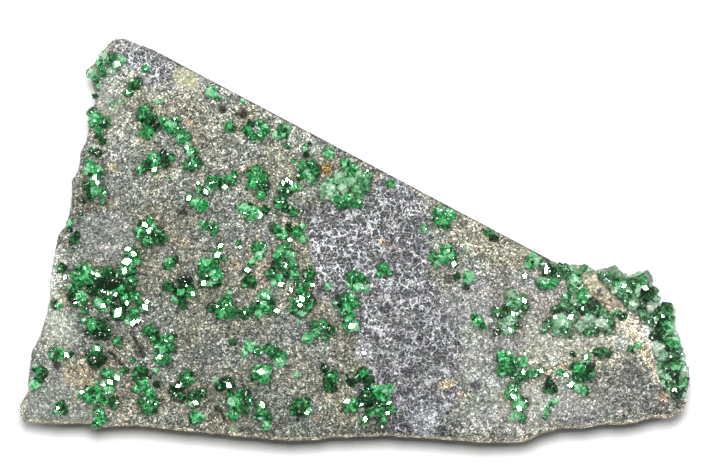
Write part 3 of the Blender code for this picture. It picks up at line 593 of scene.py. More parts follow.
def triangulated(loop, inner):
    """Points and triangles that fill a loop, and which of the points the loop's own points became."""
    places = [Vector(point) for point in np.vstack((loop, inner))]
    edges = [(index, (index + 1) % len(loop)) for index in range(len(loop))]
    flat, _, triangles, origins, _, _ = delaunay_2d_cdt(places, edges, [], 1, 1e-9)
    became = {source: index for index, sources in enumerate(origins) for source in sources}
    points = np.array([point[:] for point in flat])
    return points, [tuple(ends) for ends in triangles], [became[index] for index in range(len(loop))]


def rock_mesh():
    """Vertices and faces of the rock: fine top, rough walls, sawn face and flat back."""
    loop, kinds = fine_outline()
    normals = inward_normals(loop)
    nibble = NIBBLE * noise_at(loop, NIBBLE_WAVE, 4.4)
    nibble[kinds != "broken"] = 0.0
    rim = loop + normals * nibble[:, None]
    normals = inward_normals(smoothed(rim, kinds, 2 * WALL_SMOOTHING))
    top_loop = rim + normals * np.where(kinds == "sawn", 0.0, RIM_WIDTH)[:, None]
    plan, faces, upper = triangulated(top_loop, top_points(top_loop))
    heights = surface_heights(plan)
    for wave, size, layer in GRIT_WAVES:
        heights += size * noise_at(plan, wave, layer)
    vertices = [np.column_stack((plan, heights))]
    rim_heights = heights[upper] - np.where(kinds == "sawn", 0.3 * RIM_DROP, RIM_DROP)
    rings = wall_points(rim, kinds, rim_heights)
    first = len(plan)
    for ring in rings:
        vertices.append(ring)
        lower = range(first, first + len(ring))
        faces += band(upper, lower)
        upper = lower
        first += len(ring)
    back, back_faces, _ = triangulated(rings[-1][:, :2], np.zeros((0, 2)))
    vertices.append(np.column_stack((back, np.zeros(len(back)))))
    faces += [tuple(first + end for end in ends[::-1]) for ends in back_faces]
    return np.vstack(vertices), faces


def band(upper, lower):
    """Quads between two closed rings of the same count, seen from outside."""
    count = len(upper)
    return [(upper[i], lower[i], lower[(i + 1) % count], upper[(i + 1) % count]) for i in range(count)]


def new_object(name, vertices, faces, shift):
    """A mesh object in the frame, from points given on the slab."""
    mesh = bpy.data.meshes.new(name)
    mesh.from_pydata([tuple(row) for row in np.asarray(vertices) + np.array(shift)], [], faces)
    mesh.validate()
    made = bpy.data.objects.new(name, mesh)
    bpy.context.scene.collection.objects.link(made)
    return made


def held(points, limits, shift):
    """Points kept inside the box that the solids have."""
    return np.clip(points + np.array(shift), *limits) - np.array(shift)


def set_field(made, name, values, domain="POINT"):
    """Gives each corner or face of a mesh object a number under a name."""
    field = made.data.attributes.new(name, "FLOAT", domain)
    field.data.foreach_set("value", np.array(values, np.float32))


def polyhedron(planes):
    """Corners and faces of the solid that lies behind all the planes."""
    shape = bmesh.new()
    bmesh.ops.create_cube(shape, size=6.0)
    for normal, distance in planes:
        geometry = shape.verts[:] + shape.edges[:] + shape.faces[:]
        bmesh.ops.bisect_plane(
            shape, geom=geometry, plane_co=normal * distance, plane_no=normal, clear_outer=True
        )
        bmesh.ops.holes_fill(shape, edges=[edge for edge in shape.edges if edge.is_boundary])
    bmesh.ops.recalc_face_normals(shape, faces=shape.faces)
    shape.verts.index_update()
    corners = np.array([vertex.co[:] for vertex in shape.verts])
    faces = [[vertex.index for vertex in face.verts] for face in shape.faces]
    shape.free()
    return corners, faces


def signed_directions(parts):
    """All directions with these parts in any order and with any signs."""
    found = set()
    for order in ((0, 1, 2), (0, 2, 1), (1, 0, 2), (1, 2, 0), (2, 0, 1), (2, 1, 0)):
        for signs in range(8):
            place = [parts[index] for index in order]
            found.add(tuple(value * (-1 if signs >> axis & 1 else 1) for axis, value in enumerate(place)))
    return [Vector(place).normalized() for place in sorted(found)]


RHOMBIC = signed_directions((1, 1, 0))
TRAPEZOID = signed_directions((2, 1, 1))


def crystal_forms(count, bevelled):
    """Garnet crystals a little unlike each other: rhombic dodecahedra with their edges cut off."""
    generator = random.Random(SEED)
    forms = []
    for _ in range(count):
        planes = [(normal, generator.uniform(0.92, 1.06)) for normal in RHOMBIC]
        if bevelled:
            planes += [(normal, generator.uniform(1.02, 1.16)) for normal in TRAPEZOID]
        forms.append(polyhedron(planes))
    return forms


FORM_RADIUS = 1.06
FINE_FORMS = crystal_forms(12, True)
PLAIN_FORMS = crystal_forms(8, False)
FINE_FORM_RADIUS = 3.6
# Painted light on the garnets: how much paler a crystal's upper faces are than its lower ones
PAINTED_TOP_LIGHT = 0.16
CRYSTAL_SPREAD = 0.06
FACE_SPREAD = 0.18
MILK_BY_TONE = ((DARK, 0.5), (DEEP, 0.6), (GREEN, 1.0), (BRIGHT, 0.2), (MINT, 1.4), (PALE, 1.7))


class Growth:
    """Crystals gathered into one mesh, each with its own tone and a number of its own."""

    def __init__(self, name, milk):
        self.name = name
        self.milk = milk
        self.generator = random.Random(name)
        self.corners = []
        self.faces = []
        self.tones = []
        self.sparkles = []
        self.milks = []
        self.balls = []
        self.count = 0

    def add(self, centre, radius, tone, turn=None):
        """A crystal about a centre, in metres, with its radius in pixels; one given a turn has clean faces."""
        is_fine = radius >= FINE_FORM_RADIUS
        corners, faces = self.generator.choice(FINE_FORMS if is_fine else PLAIN_FORMS)
        is_clean = turn is not None
        milk = self.milk * np.interp(tone, *zip(*MILK_BY_TONE))
        tone += self.generator.gauss(0, CRYSTAL_SPREAD)
        if turn is None:
            turn = random_turn(self.generator)
        size = radius * PIXEL / FORM_RADIUS
        stretch = [1.0 if is_clean else self.generator.uniform(0.88, 1.12) for _ in range(3)]
        placed = (corners * stretch * size) @ np.array(turn).T
        # painted light and shade: the upper faces of each crystal get a paler tone, the lower faces a darker one
        for face in faces:
            height = placed[face, 2].mean() / (radius * PIXEL)
            self.tones.append(tone + PAINTED_TOP_LIGHT * height + self.generator.gauss(0, FACE_SPREAD))
        self.sparkles += [0.0 if is_clean else self.generator.uniform(0.35, 1.0)] * len(corners)
        self.milks += [milk * self.generator.uniform(0.5, 1.5)] * len(corners)
        self.corners.append(placed + np.array(centre))
        self.balls.append((*centre, radius * PIXEL))
        self.faces += [[self.count + index for index in face] for face in faces]
        self.count += len(corners)

    def as_object(self, limits, shift, finish):
        """The mesh, kept under the height and inside the box that its solids have."""
        corners = np.vstack(self.corners)
        made = new_object(self.name, held(corners, limits, shift), self.faces, shift)
        set_field(made, "tone", self.tones, "FACE")
        set_field(made, "sparkle", self.sparkles)
        set_field(made, "milk", self.milks)
        made.data.materials.append(finish)
        return made


def random_turn(generator):
    """A turn in space with no favoured direction."""
    parts = [generator.gauss(0, 1) for _ in range(4)]
    return Quaternion(parts).normalized().to_matrix()


def turn_to_light(generator, direction):
    """A turn that faces one rhombic face in a direction."""
    facing = RHOMBIC[0].rotation_difference(direction)
    spin = Quaternion(direction, generator.uniform(0, math.tau))
    return (spin @ facing).to_matrix()


def stand_on_rock(pixel_x, pixel_y, lift):
    """Centre of a crystal over a pixel place, a height above the rock."""
    x, y = on_slab(pixel_x, pixel_y)
    return Vector((x, y, surface_heights(np.array([[x, y]]))[0] + lift))


def drawn_in(place, radius, line, inner):
    """A place moved towards an inner one until a crystal there clears the outline's line."""
    while distance_to_line(np.array([place[:2]]), line)[0] < END_CLEARANCE * radius * PIXEL:
        place.xy = place.xy.lerp(inner, DRAW_STEP)
    return place


def grow(growth, crystals, satellites, line=None):
    """Adds each crystal, with smaller ones grown on and around it."""
    generator = growth.generator
    for pixel_x, pixel_y, radius, tone in crystals:
        centre = stand_on_rock(pixel_x, pixel_y, generator.uniform(0.1, 0.3) * radius * PIXEL)
        growth.add(centre, radius, tone)
        for _ in range(int(satellites * radius)):
            angle = generator.uniform(0, math.tau)
            reach = generator.uniform(0.5, 1.05) * radius
            small = radius * generator.uniform(0.2, 0.44)
            away = reach * PIXEL
            rise = math.sqrt(max(0.0, 1 - (reach / radius) ** 2)) * radius * PIXEL * SATELLITE_RISE
            place = stand_on_rock(
                pixel_x + reach * math.cos(angle), pixel_y + reach * math.sin(angle), 0.1 * small * PIXEL
            )
            place.z = max(place.z, centre.z + rise) if away < radius * PIXEL else place.z
            if line is not None:
                place = drawn_in(place, small, line, centre.xy)
            shift = generator.gauss(0, TONE_SPREAD)
            growth.add(place, small, min(1.0, max(0.0, tone + shift)))


def lamp_direction(turn, tilt):
    """Direction of a lamp, from its turn and tilt in degrees."""
    turn, tilt = math.radians(turn), math.radians(tilt)
    return Vector((math.sin(turn) * math.sin(tilt), math.cos(turn) * math.sin(tilt), math.cos(tilt)))


def mirror_direction(place):
    """Direction of a face at a place that mirrors the main lamp to the photograph's viewpoint."""
    viewpoint = Vector((*on_slab(FRAME_PIXELS[0] / 2, FRAME_PIXELS[1] / 2), SLAB_THICKNESS + CAMERA_DISTANCE))
    lamp = LAMP_DISTANCE * lamp_direction(*LAMPS[0][:2])
    return ((viewpoint - place).normalized() + (lamp - place).normalized()).normalized()


def nearest_growth(growths, pixel_x, pixel_y):
    """The growth with the crystal that is closest to a place."""
    places = (
        (math.hypot(x - pixel_x, y - pixel_y), name)
        for name, (_, crystals) in growths.items() for x, y, _, _ in crystals
    )
    return growths[min(places)[1]][0]


def grow_shining(growths):
    """Adds crystals with one flat face turned so that it mirrors the lamp upwards."""
    balls = np.array([ball for growth, _ in growths.values() for ball in growth.balls])
    for pixel_x, pixel_y, width in SHINING_FACES:
        growth = nearest_growth(growths, pixel_x, pixel_y)
        radius = width * SHINING_RADIUS
        centre = stand_on_rock(pixel_x, pixel_y, SHINING_LIFT * radius * PIXEL)
        reach = np.hypot(balls[:, 0] - centre.x, balls[:, 1] - centre.y)
        inward = np.clip(reach - SHINING_CLEAR * radius * PIXEL, 0, None)
        tops = balls[:, 2] + np.sqrt(np.clip(balls[:, 3] ** 2 - inward ** 2, 0, None))
        covering = tops[inward < balls[:, 3]]
        if len(covering):
            centre.z = max(centre.z, covering.max() - SHINING_SINK * radius * PIXEL)
        growth.add(centre, radius, GREEN, turn_to_light(growth.generator, mirror_direction(centre)))


def scatter_specks(growth):
    """Tiny crystals strewn over the rock, thickest near the crusts."""
    generator = growth.generator
    places = [crystal for crystals in CRUSTS.values() for crystal in crystals] + list(LONE_GARNETS)
    rim = fine_outline()[0]
    for _ in range(SPECKS):
        pixel_x, pixel_y, radius, tone = generator.choice(places)
        reach = radius + abs(generator.gauss(0, SPECK_REACH))
        angle = generator.uniform(0, math.tau)
        place = (pixel_x + reach * math.cos(angle), pixel_y + reach * math.sin(angle))
        spot = np.array([on_slab(*place)])
        if inside(spot, rim)[0] and distance_to_line(spot, rim)[0] > SPECK_CLEARANCE:
            growth.add(stand_on_rock(*place, 0.0), generator.uniform(0.9, 2.2), tone)


def crust_foot(points):
    """Height of the ragged lower edge of the end crust at plan points."""
    return END_FOOT + FOOT_RISE * np.clip(0.3 + noise_at(points, FOOT_WAVE, 8.0), 0, None)


def grow_flank(growth, outer):
    """Covers the outside of the end crust, from its foot to the top, with crystals."""
    generator = growth.generator
    steps = np.linalg.norm(np.diff(outer, axis=0), axis=1)
    reach = np.concatenate(([0.0], np.cumsum(steps)))
    inner = Vector(on_slab(*END_INNER))
    for _ in range(FLANK_CRYSTALS):
        along = generator.uniform(FLANK_START, reach[-1])
        place = Vector([np.interp(along, reach, outer[:, axis]) for axis in range(2)])
        radius = generator.uniform(2.5, 6.0)
        place = drawn_in(place, radius, outer, inner)
        foot = crust_foot(np.array([place[:2]]))[0]
        height = generator.uniform(foot, SLAB_THICKNESS - 0.5 * radius * PIXEL)
        tone = generator.choice((DARK, GREEN, GREEN, BRIGHT, MINT, PALE))
        growth.add((*place, height), radius, tone)


def end_bed():
    """Vertices and faces of the rough bed that the end crystals stand on."""
    middle = np.array(on_slab(*END_INNER))
    outer = middle + BED_SHARE * (spots(END_OUTER[2:-1]) - middle)
    loop = np.vstack((outer, spots(RIGHT_END)[::-1] + (-0.4 * MM, 0.0)))
    loop = resampled(loop, 0.5 * MM)
    top = SLAB_THICKNESS - 0.5 * MM
    foot = crust_foot(loop)
    vertices = []
    faces = []
    count = len(loop)
    normals = inward_normals(loop)
    for ring in range(BED_RINGS):
        heights = top + (foot - top) * ring / (BED_RINGS - 1)
        places = np.column_stack((loop, heights))
        rough = np.abs(noise_at(places, 1.2 * MM, 1.7)) * BED_ROUGHNESS
        vertices.append(np.column_stack((loop + normals * rough[:, None], places[:, 2])))
        if ring:
            faces += band(range((ring - 1) * count, ring * count), range(ring * count, (ring + 1) * count))
    first = BED_RINGS * count
    for ring, turn in ((0, 1), (BED_RINGS - 1, -1)):
        cap, cap_faces, _ = triangulated(vertices[ring][:, :2], np.zeros((0, 2)))
        vertices.append(np.column_stack((cap, crust_foot(cap) if ring else np.full(len(cap), top))))
        faces += [tuple(first + end for end in ends[::turn]) for ends in cap_faces]
        first += len(cap)
    return np.vstack(vertices), faces


def resampled(loop, step):
    """The closed loop with points an even step apart."""
    closed = np.vstack((loop, loop[:1]))
    steps = np.linalg.norm(np.diff(closed, axis=0), axis=1)
    reach = np.concatenate(([0.0], np.cumsum(steps)))
    marks = np.linspace(0, reach[-1], max(3, int(reach[-1] / step)), endpoint=False)
    return np.column_stack([np.interp(marks, reach, closed[:, axis]) for axis in range(2)])


# How milky the crystals are: all of them, those of some crusts and those of the right end
MILK = 0.10
MILKY = {
    "right_mass": 0.5, "right_centre": 0.5, "east_bright": 0.15, "great_north": 0.3, "right_gem": 0.2,
    "right_square": 0.25, "lower_right_mass": 0.25, "lower_right_dark": 0.25, "tip_druse": 0.25,
}
END_MILK = 0.5

# How crystals gather
SATELLITE_RISE = 0.75
TONE_SPREAD = 0.14
SATELLITES = 0.65
LONE_SATELLITES = 0.5
SPECKS = 130
SPECK_REACH = 7.0
SPECK_CLEARANCE = 0.4 * MM
FLANK_CRYSTALS = 200
FLANK_START = 2.0 * MM
END_INNER = (620, 350)
END_CLEARANCE = 0.95
DRAW_STEP = 0.03
FOOT_RISE = 2.6 * MM
FOOT_WAVE = 2.4 * MM
BED_SHARE = 0.94
BED_RINGS = 18
BED_ROUGHNESS = 0.5 * MM
SHINING_RADIUS = 0.72
SHINING_LIFT = 0.45
SHINING_CLEAR = 0.45
SHINING_SINK = 0.8

# Lamps: turn from the photo's top towards its right and tilt from straight up, half spread, and
# the share of the floor's light that each gives
LAMPS = (
    (0, 6.9, 4.7, 1.02), (-50, 38, 5, 0.09), (48, 44, 5, 0.09), (-12, 57, 5, 0.07), (66, 27, 4, 0.06),
    (-72, 52, 5, 0.05), (18, 24, 3, 0.05),
)
LAMP_DISTANCE = 0.6
SKY_RADIANCE = 0.08
FLOOR_BRIGHTNESS = 0.97

# Camera
CAMERA_DISTANCE = 0.6
SENSOR_WIDTH = 36.0

# Colours of the rock: common ground, then patches as place, half sizes, turn, colour, strength
GROUND = (0.226, 0.250, 0.217)
CHROMITE = (0.084, 0.088, 0.095)
WARM = (0.228, 0.223, 0.160)
# painted highlight: colour of the thin lit rim along the lower edge
RIM_HIGHLIGHT_COLOUR = (0.62, 0.57, 0.41)
PATCHES = (
    (185, 79, 15, 11, 25, (0.43, 0.43, 0.29), 0.9),
    (105, 235, 36, 25, -15, (0.20, 0.218, 0.20), 0.8),
    (100, 95, 12, 14, 0, (0.36, 0.35, 0.32), 0.6),
    (170, 100, 30, 12, 30, (0.30, 0.30, 0.23), 0.5),
    (592, 287, 42, 15, 42, (0.44, 0.415, 0.29), 0.9), (606, 306, 20, 9, 42, (0.40, 0.34, 0.26), 0.6),
    (545, 345, 60, 15, -6, (0.37, 0.385, 0.305), 0.6),
    (560, 398, 46, 22, 0, (0.36, 0.37, 0.33), 0.6),
    (495, 240, 70, 22, 28, (0.33, 0.325, 0.24), 0.7),
    (560, 300, 20, 16, 0, (0.36, 0.345, 0.30), 0.5),
    (636, 388, 44, 26, 8, (0.168, 0.176, 0.160), 0.85),
    (500, 346, 26, 12, 0, (0.18, 0.18, 0.19), 0.6),
    (520, 300, 60, 26, 10, (0.24, 0.24, 0.25), 0.4),
    (424, 420, 15, 16, 0, (0.36, 0.39, 0.43), 0.35),
    (431, 421, 4, 8, 0, (0.62, 0.66, 0.70), 0.5),
    (485, 417, 12, 9, 0, (0.33, 0.38, 0.34), 0.6),
    (480, 378, 9, 9, 0, (0.33, 0.38, 0.35), 0.4),
    (590, 344, 12, 6, 0, (0.44, 0.43, 0.38), 0.7),
    (258, 270, 14, 32, 0, (0.36, 0.31, 0.23), 0.5),
    (78, 375, 14, 10, 0, (0.36, 0.29, 0.18), 0.6),
    (382, 242, 3, 2, 0, (0.60, 0.30, 0.10), 0.9),
    (390, 246, 9, 4, 15, (0.10, 0.08, 0.07), 0.8),
    (447, 384, 9, 4, -10, (0.46, 0.37, 0.24), 0.9),
    (327, 168, 5, 6, 20, (0.22, 0.14, 0.03), 0.9),
    (191, 122, 4, 3, 0, (0.42, 0.29, 0.18), 0.8),
    (235, 267, 3, 3, 0, (0.40, 0.26, 0.14), 0.8),
    (562, 366, 5, 3, 0, (0.44, 0.31, 0.20), 0.8),
    (315, 418, 4, 3, 0, (0.40, 0.31, 0.22), 0.7),
    (664, 397, 7, 4, 20, (0.46, 0.33, 0.23), 0.8),
    (461, 393, 4, 3, 0, (0.42, 0.33, 0.28), 0.7),
    (397, 403, 5, 4, 0, (0.24, 0.21, 0.26), 0.6),
    (556, 284, 3, 3, 0, (0.48, 0.35, 0.28), 0.7),
    (113, 167, 7, 5, 0, (0.36, 0.31, 0.21), 0.7),
    (182, 243, 8, 6, 0, (0.34, 0.30, 0.20), 0.6),
    (120, 155, 9, 7, 0, (0.36, 0.37, 0.36), 0.6),
    (108, 247, 8, 4, 0, (0.45, 0.45, 0.45), 0.5),
    (364, 353, 10, 8, 0, (0.36, 0.36, 0.38), 0.8),
    (468, 306, 24, 26, 0, (0.29, 0.295, 0.295), 0.6),
    (515, 421, 46, 14, 0, (0.335, 0.34, 0.325), 0.5),
    (488, 366, 24, 20, 0, (0.33, 0.345, 0.33), 0.5),
    (222, 110, 5, 4, 0, (0.01, 0.01, 0.01), 0.95),
    (243, 114, 7, 5, 0, (0.03, 0.025, 0.02), 0.9),
    (57, 366, 4, 4, 0, (0.04, 0.03, 0.03), 0.9),
    (183, 212, 5, 3, 0, (0.04, 0.03, 0.03), 0.9),
    (476, 386, 6, 5, 0, (0.07, 0.07, 0.07), 0.8),
    (448, 279, 5, 5, 0, (0.06, 0.06, 0.06), 0.8),
    (408, 373, 6, 6, 0, (0.06, 0.06, 0.07), 0.8),
)
# Broad lighter and darker parts of the rock, partly painted light and shade (brighter lit margins) and partly the
# rock's own tone: place, half sizes, turn, factor
LIGHT_AND_TONE_FACTORS = (
    (195, 300, 160, 125, 0, 0.80), (230, 372, 48, 42, 0, 0.82), (325, 432, 100, 22, 0, 0.68),
    (200, 85, 150, 30, 20, 1.30), (45, 295, 22, 60, -12, 2.0), (50, 350, 20, 18, 0, 0.84), (58, 408, 36, 16, 0, 0.93), (52, 262, 12, 22, 0, 1.35), (592, 345, 46, 26, 0, 1.68),
    (400, 335, 66, 125, 0, 0.92), (530, 385, 40, 30, 0, 1.5), (655, 395, 36, 28, 0, 0.80),
    (410, 428, 40, 16, 0, 0.72), (105, 95, 30, 50, 10, 1.24), (480, 265, 40, 26, 30, 0.90),
    (95, 205, 40, 34, 0, 0.84), (405, 186, 26, 12, 30, 1.4), (410, 228, 30, 20, 0, 0.9), (470, 310, 26, 40, 0, 1.12),
    (480, 385, 30, 26, 0, 0.90), (40, 385, 14, 34, 0, 1.15), (290, 187, 32, 24, 0, 1.16),
    (292, 302, 28, 28, 0, 1.16), (410, 303, 40, 26, 0, 1.14), (350, 305, 22, 18, 0, 1.22), (232, 262, 30, 20, 0, 1.12), (165, 388, 32, 28, 0, 1.28), (470, 345, 26, 18, 0, 1.1),
    (110, 138, 32, 22, 0, 1.14), (110, 420, 42, 14, 0, 1.15), (600, 300, 30, 20, 42, 1.08), (560, 300, 44, 22, 0, 1.12),
    (410, 430, 44, 22, 0, 0.85), (140, 60, 36, 20, 20, 0.84), (120, 170, 20, 32, 0, 0.92),
)
# Smoother parts, where the grain is faint: place, half sizes, turn, share
CALM_PARTS = (
    (104, 235, 36, 28, -15, 0.2), (600, 293, 34, 13, 42, 0.45), (188, 80, 18, 12, 25, 0.5),
    (540, 405, 70, 24, 0, 0.32), (110, 185, 30, 22, 0, 0.1), (105, 105, 16, 20, 0, 0.35),
    (565, 343, 62, 17, -6, 0.3), (530, 300, 40, 30, 0, 0.2), (488, 360, 32, 30, 0, 0.22),
    (465, 310, 26, 26, 0, 0.2), (60, 400, 46, 34, 0, 0.3), (55, 330, 22, 40, 0, 0.3),
)
# Parts with small dark pits: place, half sizes, turn, share
PITTED_PARTS = ((606, 302, 20, 9, 42, 0.95), (584, 284, 14, 6, 42, 0.5), (222, 100, 24, 12, 20, 0.5))
PIT_WAVE = 0.5 * MM
CHROMITE_FIELDS = (
    ((306, 208), (320, 205), (345, 209), (358, 206), (368, 197), (380, 184), (394, 176),
     (426, 196), (436, 214), (436, 232), (427, 244), (431, 258), (424, 272), (442, 290),
     (460, 322), (464, 360), (456, 402), (446, 440), (396, 437), (384, 402), (362, 366),
     (358, 322), (345, 302), (320, 303), (316, 280), (312, 256), (306, 240)),
    ((112, 40), (135, 44), (160, 54), (176, 66), (170, 84), (152, 92), (142, 76), (128, 64), (112, 54)),
    ((552, 402), (572, 398), (588, 404), (604, 416), (594, 424), (566, 426), (548, 420)),
)
STREAKS = (
    (((622, 318), (638, 334), (650, 352), (662, 376)), 10, (0.62, 0.57, 0.45), 0.9),
    (((646, 326), (655, 345), (662, 362)), 5, (0.80, 0.82, 0.76), 0.95),
    (((630, 330), (640, 344), (650, 362)), 5, (0.60, 0.52, 0.32), 0.6),
)
# Where the net of veins is faint: place, half sizes, turn, share taken off
FAINT_VEINS = (
    (405, 385, 75, 90, 0, 0.4), (385, 258, 34, 9, -8, 0.5), (427, 240, 12, 16, 0, 0.4),
    (330, 300, 30, 16, 0, 0.3), (582, 408, 40, 26, 0, 0.35), (316, 214, 16, 9, 0, 0.75),
    (404, 190, 22, 10, 30, 0.3), (378, 196, 12, 8, -40, 0.3), (412, 232, 26, 16, 0, 0.3),
)
# Painted shade round the garnets: how much the rock is darkened, and over how many pixels
PAINTED_CONTACT_SHADE = 0.38
PAINTED_CONTACT_REACH = 3.0
# Painted shade in the cracks: colour and reach in pixels
CRACK_SHADE_COLOUR = (0.012, 0.010, 0.008)
CRACK_SHADE_REACH = 1.1
PIT_COLOUR = (0.05, 0.045, 0.035)
FIELD_EDGE = 7.0
WARM_REACH = 16.0
# Painted shade along the sawn edge: reach in pixels
SAWN_EDGE_SHADE_REACH = 1.4
# Painted highlight along the lower rim: reach in pixels
RIM_HIGHLIGHT_REACH = 1.8


def patch_share(pixels, place, sizes, turn, softness=0.5):
    """How far each pixel place lies inside an ellipse with a soft edge, from 0 to 1."""
    angle = math.radians(turn)
    away = pixels - np.array(place)
    across = (away[:, 0] * math.cos(angle) + away[:, 1] * math.sin(angle)) / sizes[0]
    down = (away[:, 1] * math.cos(angle) - away[:, 0] * math.sin(angle)) / sizes[1]
    return smooth_step((1 + softness / 2 - np.hypot(across, down)) / softness)


def mixed(base, colour, share):
    return base + (np.array(colour) - base) * share[:, None]


def ground_values(points):
    """Colour, vein share and calmness of the rock at each of its points. The colour carries painted shade round the
    garnets, in the cracks and along the sawn edge, a painted highlight along the lower rim, and broad painted light
    mixed with the rock's tone.
    """
    plan = points[:, :2]
    ragged = 3.5 * np.column_stack((noise_at(points, 1.6 * MM, 11.0), noise_at(points, 1.6 * MM, 15.0)))
    ragged += 6.0 * np.column_stack((noise_at(points, 5.0 * MM, 21.0), noise_at(points, 5.0 * MM, 25.0)))
    pixels = to_pixels(plan)
    loose = pixels + ragged
    colour = np.tile(np.array(GROUND), (len(points), 1))
    colour *= (1 + 0.22 * noise_at(points, 6.0 * MM, 31.0))[:, None]
    warm = smooth_step(0.5 + 1.3 * noise_at(points, 4.0 * MM, 41.0))
    near = np.full(len(points), np.inf)
    for crystals in CRUSTS.values():
        for pixel_x, pixel_y, radius, _ in crystals:
            away = np.hypot(pixels[:, 0] - pixel_x, pixels[:, 1] - pixel_y) - radius
            near = np.minimum(near, away)
    halo = np.exp(-np.clip(near, 0, None) / WARM_REACH)
    colour = mixed(colour, WARM, np.clip(0.25 * warm + 0.75 * halo * warm, 0, 1))
    chromite = np.zeros(len(points))
    for field in CHROMITE_FIELDS:
        loop = np.array(field, float)
        away = distance_to_line(loose, np.vstack((loop, loop[:1])))
        depth = np.where(inside(loose, loop), away, -away)
        chromite = np.maximum(chromite, smooth_step(0.5 + depth / (2 * FIELD_EDGE)))
    veins = chromite.copy()
    for x, y, width, height, turn, share in FAINT_VEINS:
        veins *= 1 - share * patch_share(loose, (x, y), (width, height), turn, 0.7)
    colour = mixed(colour, CHROMITE, 0.92 * chromite)
    # painted light and shade mixed with tone: broad parts of the rock are brightened or darkened
    for x, y, width, height, turn, factor in LIGHT_AND_TONE_FACTORS:
        colour *= (1 + (factor - 1) * patch_share(loose, (x, y), (width, height), turn, 0.7))[:, None]
    for x, y, width, height, turn, tint, strength in PATCHES:
        small = min(width, height) < 7
        share = strength * patch_share(pixels + 0.3 * ragged if small else loose, (x, y), (width, height), turn)
        colour = mixed(colour, tint, share)
        veins *= 1 - 0.8 * share
    for line, width, tint, strength in STREAKS:
        away = distance_to_line(pixels + 0.5 * ragged, np.array(line, float))
        colour = mixed(colour, tint, strength * smooth_step(1.3 - away / width))
    # painted shade: the rock is darkened in a ring close round the garnets, where their contact shadow falls
    colour *= (1 - PAINTED_CONTACT_SHADE * np.exp(-(np.clip(near, 0, None) / PAINTED_CONTACT_REACH) ** 2))[:, None]
    # painted shade: the cracks are darkened nearly to black as if in shadow, on top of their shallow carved grooves
    for line in CRACKS:
        away = distance_to_line(pixels, np.array(line, float))
        colour = mixed(colour, CRACK_SHADE_COLOUR, 0.9 * smooth_step(1.6 - away / CRACK_SHADE_REACH))
    # painted shade: a dark line along the sawn edge stands in for the sawn face seen edge-on in shade
    sawn = distance_to_line(pixels, np.array(SAWN_EDGE, float))
    colour = mixed(colour, (0.05, 0.05, 0.045), 0.75 * smooth_step(1.6 - sawn / SAWN_EDGE_SHADE_REACH))
    # painted highlight: a thin cream line along the lower broken edge stands in for its lit rim
    rim = distance_to_line(pixels, np.array(LEFT_SIDE[-3:] + LOWER_SIDE, float))
    colour = mixed(colour, RIM_HIGHLIGHT_COLOUR, 0.85 * smooth_step(1.8 - rim / RIM_HIGHLIGHT_REACH))
    pits = smooth_step(7.0 * noise_at(points, PIT_WAVE, 51.0) - 0.35)
    for x, y, width, height, turn, share in PITTED_PARTS:
        colour = mixed(colour, PIT_COLOUR, share * pits * patch_share(pixels, (x, y), (width, height), turn))
    calm = np.zeros(len(points))
    for x, y, width, height, turn, share in CALM_PARTS:
        calm = np.maximum(calm, share * patch_share(loose, (x, y), (width, height), turn, 0.7))
    return np.clip(colour, 0.01, 1.0), veins, calm


def new_material(name):
    made = bpy.data.materials.new(name)
    made.use_nodes = True
    tree = made.node_tree
    return made, tree, tree.nodes["Principled BSDF"]


def node(tree, kind, **settings):
    made = tree.nodes.new(kind)
    for key, value in settings.items():
        setattr(made, key, value)
    return made


def link(tree, source, target):
    tree.links.new(source, target)


def in_millimetres(tree):
    """Object coordinates, in millimetres."""
    coordinates = node(tree, "ShaderNodeTexCoord")
    scale = node(tree, "ShaderNodeVectorMath", operation="SCALE")
    scale.inputs["Scale"].default_value = 1000.0
    link(tree, coordinates.outputs["Object"], scale.inputs[0])
    return scale.outputs["Vector"]


def noise_node(tree, place, size, detail=2.0, roughness=0.5):
    made = node(tree, "ShaderNodeTexNoise")
    made.inputs["Scale"].default_value = 1.0 / size
    made.inputs["Detail"].default_value = detail
    made.inputs["Roughness"].default_value = roughness
    link(tree, place, made.inputs["Vector"])
    return made


def cell_node(tree, place, size, feature="F1"):
    made = node(tree, "ShaderNodeTexVoronoi", feature=feature)
    made.inputs["Scale"].default_value = 1.0 / size
    link(tree, place, made.inputs["Vector"])
    return made


def ramp_node(tree, value, stops, interpolation="LINEAR"):
    """A colour ramp through (position, colour or grey) stops."""
    made = node(tree, "ShaderNodeValToRGB")
    made.color_ramp.interpolation = interpolation
    elements = made.color_ramp.elements
    while len(elements) < len(stops):
        elements.new(0.5)
    for element, (position, colour) in zip(elements, stops):
        element.position = position
        shade = colour if isinstance(colour, tuple) else (colour,) * 3
        element.color = (*shade, 1.0)
    link(tree, value, made.inputs["Fac"])
    return made.outputs["Color"]


def maths(tree, operation, first, second=None, third=None, clamp=False):
    made = node(tree, "ShaderNodeMath", operation=operation, use_clamp=clamp)
    for socket, value in zip(made.inputs, (first, second, third)):
        if isinstance(value, (int, float)):
            socket.default_value = value
        elif value is not None:
            link(tree, value, socket)
    return made.outputs["Value"]


def mix_colours(tree, share, first, second, blend="MIX"):
    made = node(tree, "ShaderNodeMix", data_type="RGBA", blend_type=blend)
    for socket, value in ((made.inputs[0], share), (made.inputs[6], first), (made.inputs[7], second)):
        if isinstance(value, (int, float)):
            socket.default_value = value
        elif isinstance(value, tuple):
            socket.default_value = (*value, 1.0)
        else:
            link(tree, value, socket)
    return made.outputs[2]


def attribute(tree, name, output="Fac"):
    return node(tree, "ShaderNodeAttribute", attribute_name=name).outputs[output]


